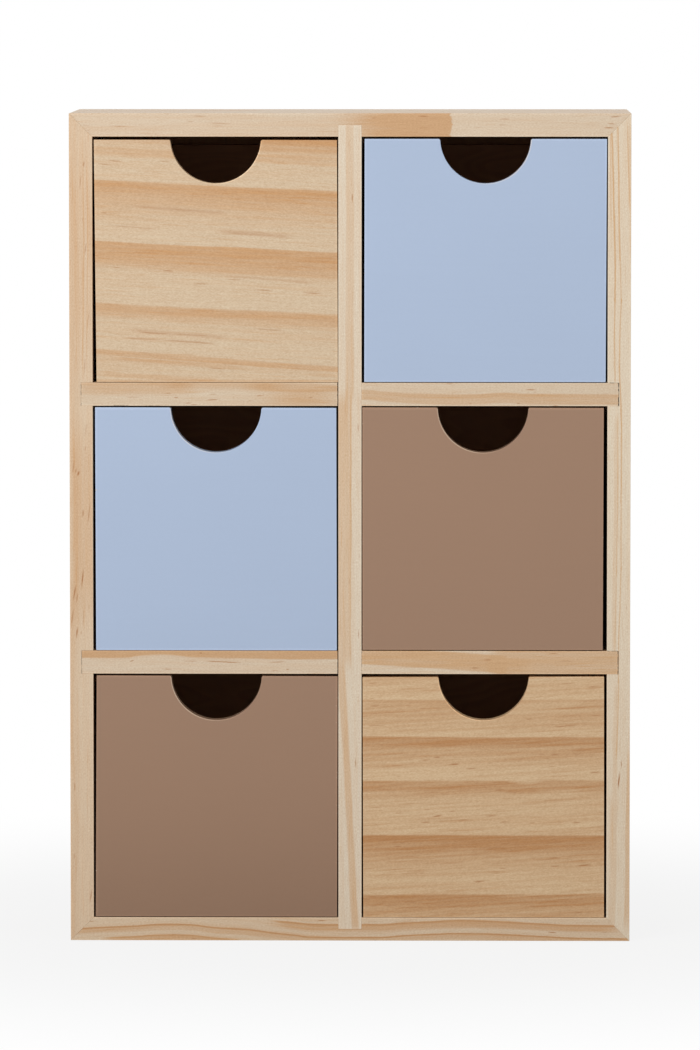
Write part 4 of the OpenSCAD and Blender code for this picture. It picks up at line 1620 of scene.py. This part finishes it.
class MakeBoards(bpy.types.Operator):
    """Shape the outer boards, the divider and the shelves"""

    bl_idname = "mini_drawers.boards"
    bl_label = "Boards"

    def execute(self, context):
        settings = context.scene.mini_drawers_cabinet
        front, rear = CABINET_LOW.y, CABINET_HIGH.y
        ends = ((Y, front), (Y, rear))
        plans = {
            "top_board": (ends + ((Z, CABINET_HIGH.z), (Z, BAY_TOP)), ()),
            "bottom_board": (ends + ((Z, CABINET_LOW.z), (Z, BAY_BOTTOM)), ()),
            "left_side": (ends + ((X, CABINET_LOW.x), (X, BAY_LEFT)), ()),
            "right_side": (ends + ((X, CABINET_HIGH.x), (X, BAY_RIGHT)), ()),
        }
        low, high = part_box("centre_divider")
        zones = [(Z, low.z - MM, BAY_BOTTOM), (Z, BAY_TOP, high.z + MM)]
        for shelf in ("lower_left_shelf", "upper_left_shelf"):
            shelf_low, shelf_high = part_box(shelf)
            zones.append((Z, shelf_low.z, shelf_high.z))
        plans["centre_divider"] = (((Y, front), (X, low.x), (X, high.x)), zones)
        for shelf in SHELVES:
            low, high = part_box(shelf)
            zones = ((X, low.x - MM, BAY_LEFT), (X, BAY_RIGHT, high.x + MM))
            plans[shelf] = (((Y, front), (Z, low.z), (Z, high.z)), zones)
        for node, (free_planes, joint_zones) in plans.items():
            shape = shape_board(node, free_planes, joint_zones, settings)
            if node.endswith("right_shelf"):
                far_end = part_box(node)[1].x
                for vertex in shape.verts:
                    if vertex.co.x > far_end - CLOSE:
                        vertex.co.x = far_end + SHELF_REACH
            material = pine_board_material(node, settings, BOARD_LOOKS[node])
            add_piece(shape, node, "cabinet", "pine", material, settings.arris)
        return {"FINISHED"}


class MakeBackPanel(bpy.types.Operator):
    """Dress the plywood back panel"""

    bl_idname = "mini_drawers.back_panel"
    bl_label = "Back panel"

    def execute(self, context):
        settings = context.scene.mini_drawers_cabinet
        material = plywood_material("back_panel", settings, Z, X, Y, BACK_SEED)
        dress_node("back_panel", material, PLYWOOD_EASE)
        return {"FINISHED"}


class MakeFasteners(bpy.types.Operator):
    """Dress the brads and the dowels"""

    bl_idname = "mini_drawers.fasteners"
    bl_label = "Brads and dowels"

    def execute(self, context):
        settings = context.scene.mini_drawers_cabinet
        steel = steel_material(settings)
        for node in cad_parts:
            if node.endswith("_brads"):
                dress_node(node, steel, BRAD_EASE)
        dress_node("shelf_dowels", beech_material(settings), DOWEL_EASE)
        return {"FINISHED"}


class MakePineFronts(bpy.types.Operator):
    """Shape the two drawer fronts of clear pine"""

    bl_idname = "mini_drawers.pine_fronts"
    bl_label = "Pine fronts"

    def execute(self, context):
        cabinet = context.scene.mini_drawers_cabinet
        settings = context.scene.mini_drawers_fronts
        colours = {
            "top_left_drawer": (settings.pine_pale, settings.pine_dark),
            "bottom_right_drawer": (settings.brown_pale, settings.brown_dark),
        }
        for drawer, (pale, dark) in colours.items():
            node = drawer + "_front"
            shape = shape_front(drawer, settings)
            material = pine_front_material(node, cabinet, pale, dark, PINE_FRONTS[drawer])
            add_piece(shape, node, drawer, "pine", material, settings.arris)
        return {"FINISHED"}


class MakePaintedFronts(bpy.types.Operator):
    """Shape the four drawer fronts in satin paint"""

    bl_idname = "mini_drawers.painted_fronts"
    bl_label = "Painted fronts"

    def execute(self, context):
        cabinet = context.scene.mini_drawers_cabinet
        settings = context.scene.mini_drawers_fronts
        # Each front's slot, its paint, and how strong the painted shade at its foot is
        finishes = {
            "top_right_drawer": ("pale_blue_paint", settings.pale_blue, 0.0),
            "middle_left_drawer": ("pale_blue_paint", settings.pale_blue, 0.0),
            "middle_right_drawer": ("taupe_paint", settings.taupe, 0.0),
            "bottom_left_drawer": ("taupe_paint", settings.taupe, 0.15),
        }
        for number, (drawer, (slot, paint, painted_foot_shade)) in enumerate(finishes.items()):
            node = drawer + "_front"
            shape = shape_front(drawer, settings)
            seed = PAINT_SEED + number * PAINT_SEED_STEP
            material = painted_front_material(node, paint, cabinet.early_wood, painted_foot_shade, seed)
            add_piece(shape, node, drawer, slot, material, settings.arris)
        return {"FINISHED"}


class MakeDrawerBoxes(bpy.types.Operator):
    """Dress the walls, backs and bottoms of the drawers"""

    bl_idname = "mini_drawers.drawer_boxes"
    bl_label = "Drawer boxes"

    def execute(self, context):
        settings = context.scene.mini_drawers_cabinet
        kinds = (
            ("_left_wall", Y, Z, X),
            ("_right_wall", Y, Z, X),
            ("_back", X, Z, Y),
            ("_bottom", X, Y, Z),
        )
        seed = BOX_SEED
        for drawer in DRAWERS:
            for ending, along, across, thick in kinds:
                node = drawer + ending
                seed = seed + BOX_SEED_STEP
                material = plywood_material(node, settings, along, across, thick, seed)
                dress_node(node, material, PLYWOOD_EASE)
        return {"FINISHED"}


class MiniDrawersPanel(bpy.types.Panel):
    """The settings and the steps, in the sidebar of the 3D view"""

    bl_idname = "VIEW3D_PT_mini_drawers"
    bl_label = "Mini Drawers"
    bl_space_type = "VIEW_3D"
    bl_region_type = "UI"
    bl_category = "Mini Drawers"

    def draw(self, context):
        """One box for each group of settings, then a button for each step."""
        for name in SETTINGS:
            group = getattr(context.scene, name)
            box = self.layout.box()
            for key in group.bl_rna.properties.keys():
                if key not in ("rna_type", "name"):
                    box.prop(group, key)
        for operator in OPERATORS:
            self.layout.operator(operator.bl_idname)


SETTINGS = {
    "mini_drawers_cabinet": CabinetSettings,
    "mini_drawers_fronts": DrawerSettings,
    "mini_drawers_stage": StageSettings,
}
OPERATORS = (
    MakeStage,
    MakeBoards,
    MakeBackPanel,
    MakeFasteners,
    MakePineFronts,
    MakePaintedFronts,
    MakeDrawerBoxes,
)


def register():
    """Makes the classes known, and gives the scene its settings."""
    for item in (*SETTINGS.values(), *OPERATORS, MiniDrawersPanel):
        bpy.utils.register_class(item)
    for name, group in SETTINGS.items():
        setattr(bpy.types.Scene, name, bpy.props.PointerProperty(type=group))


def unregister():
    """Takes the settings and the classes away again."""
    for name in SETTINGS:
        delattr(bpy.types.Scene, name)
    for item in (MiniDrawersPanel, *reversed(OPERATORS), *SETTINGS.values()):
        bpy.utils.unregister_class(item)


def main():
    register()
    build_node_groups()
    bpy.ops.mini_drawers.stage()
    bpy.ops.mini_drawers.boards()
    bpy.ops.mini_drawers.back_panel()
    bpy.ops.mini_drawers.fasteners()
    bpy.ops.mini_drawers.pine_fronts()
    bpy.ops.mini_drawers.painted_fronts()
    bpy.ops.mini_drawers.drawer_boxes()


if __name__ == "__main__":
    main()
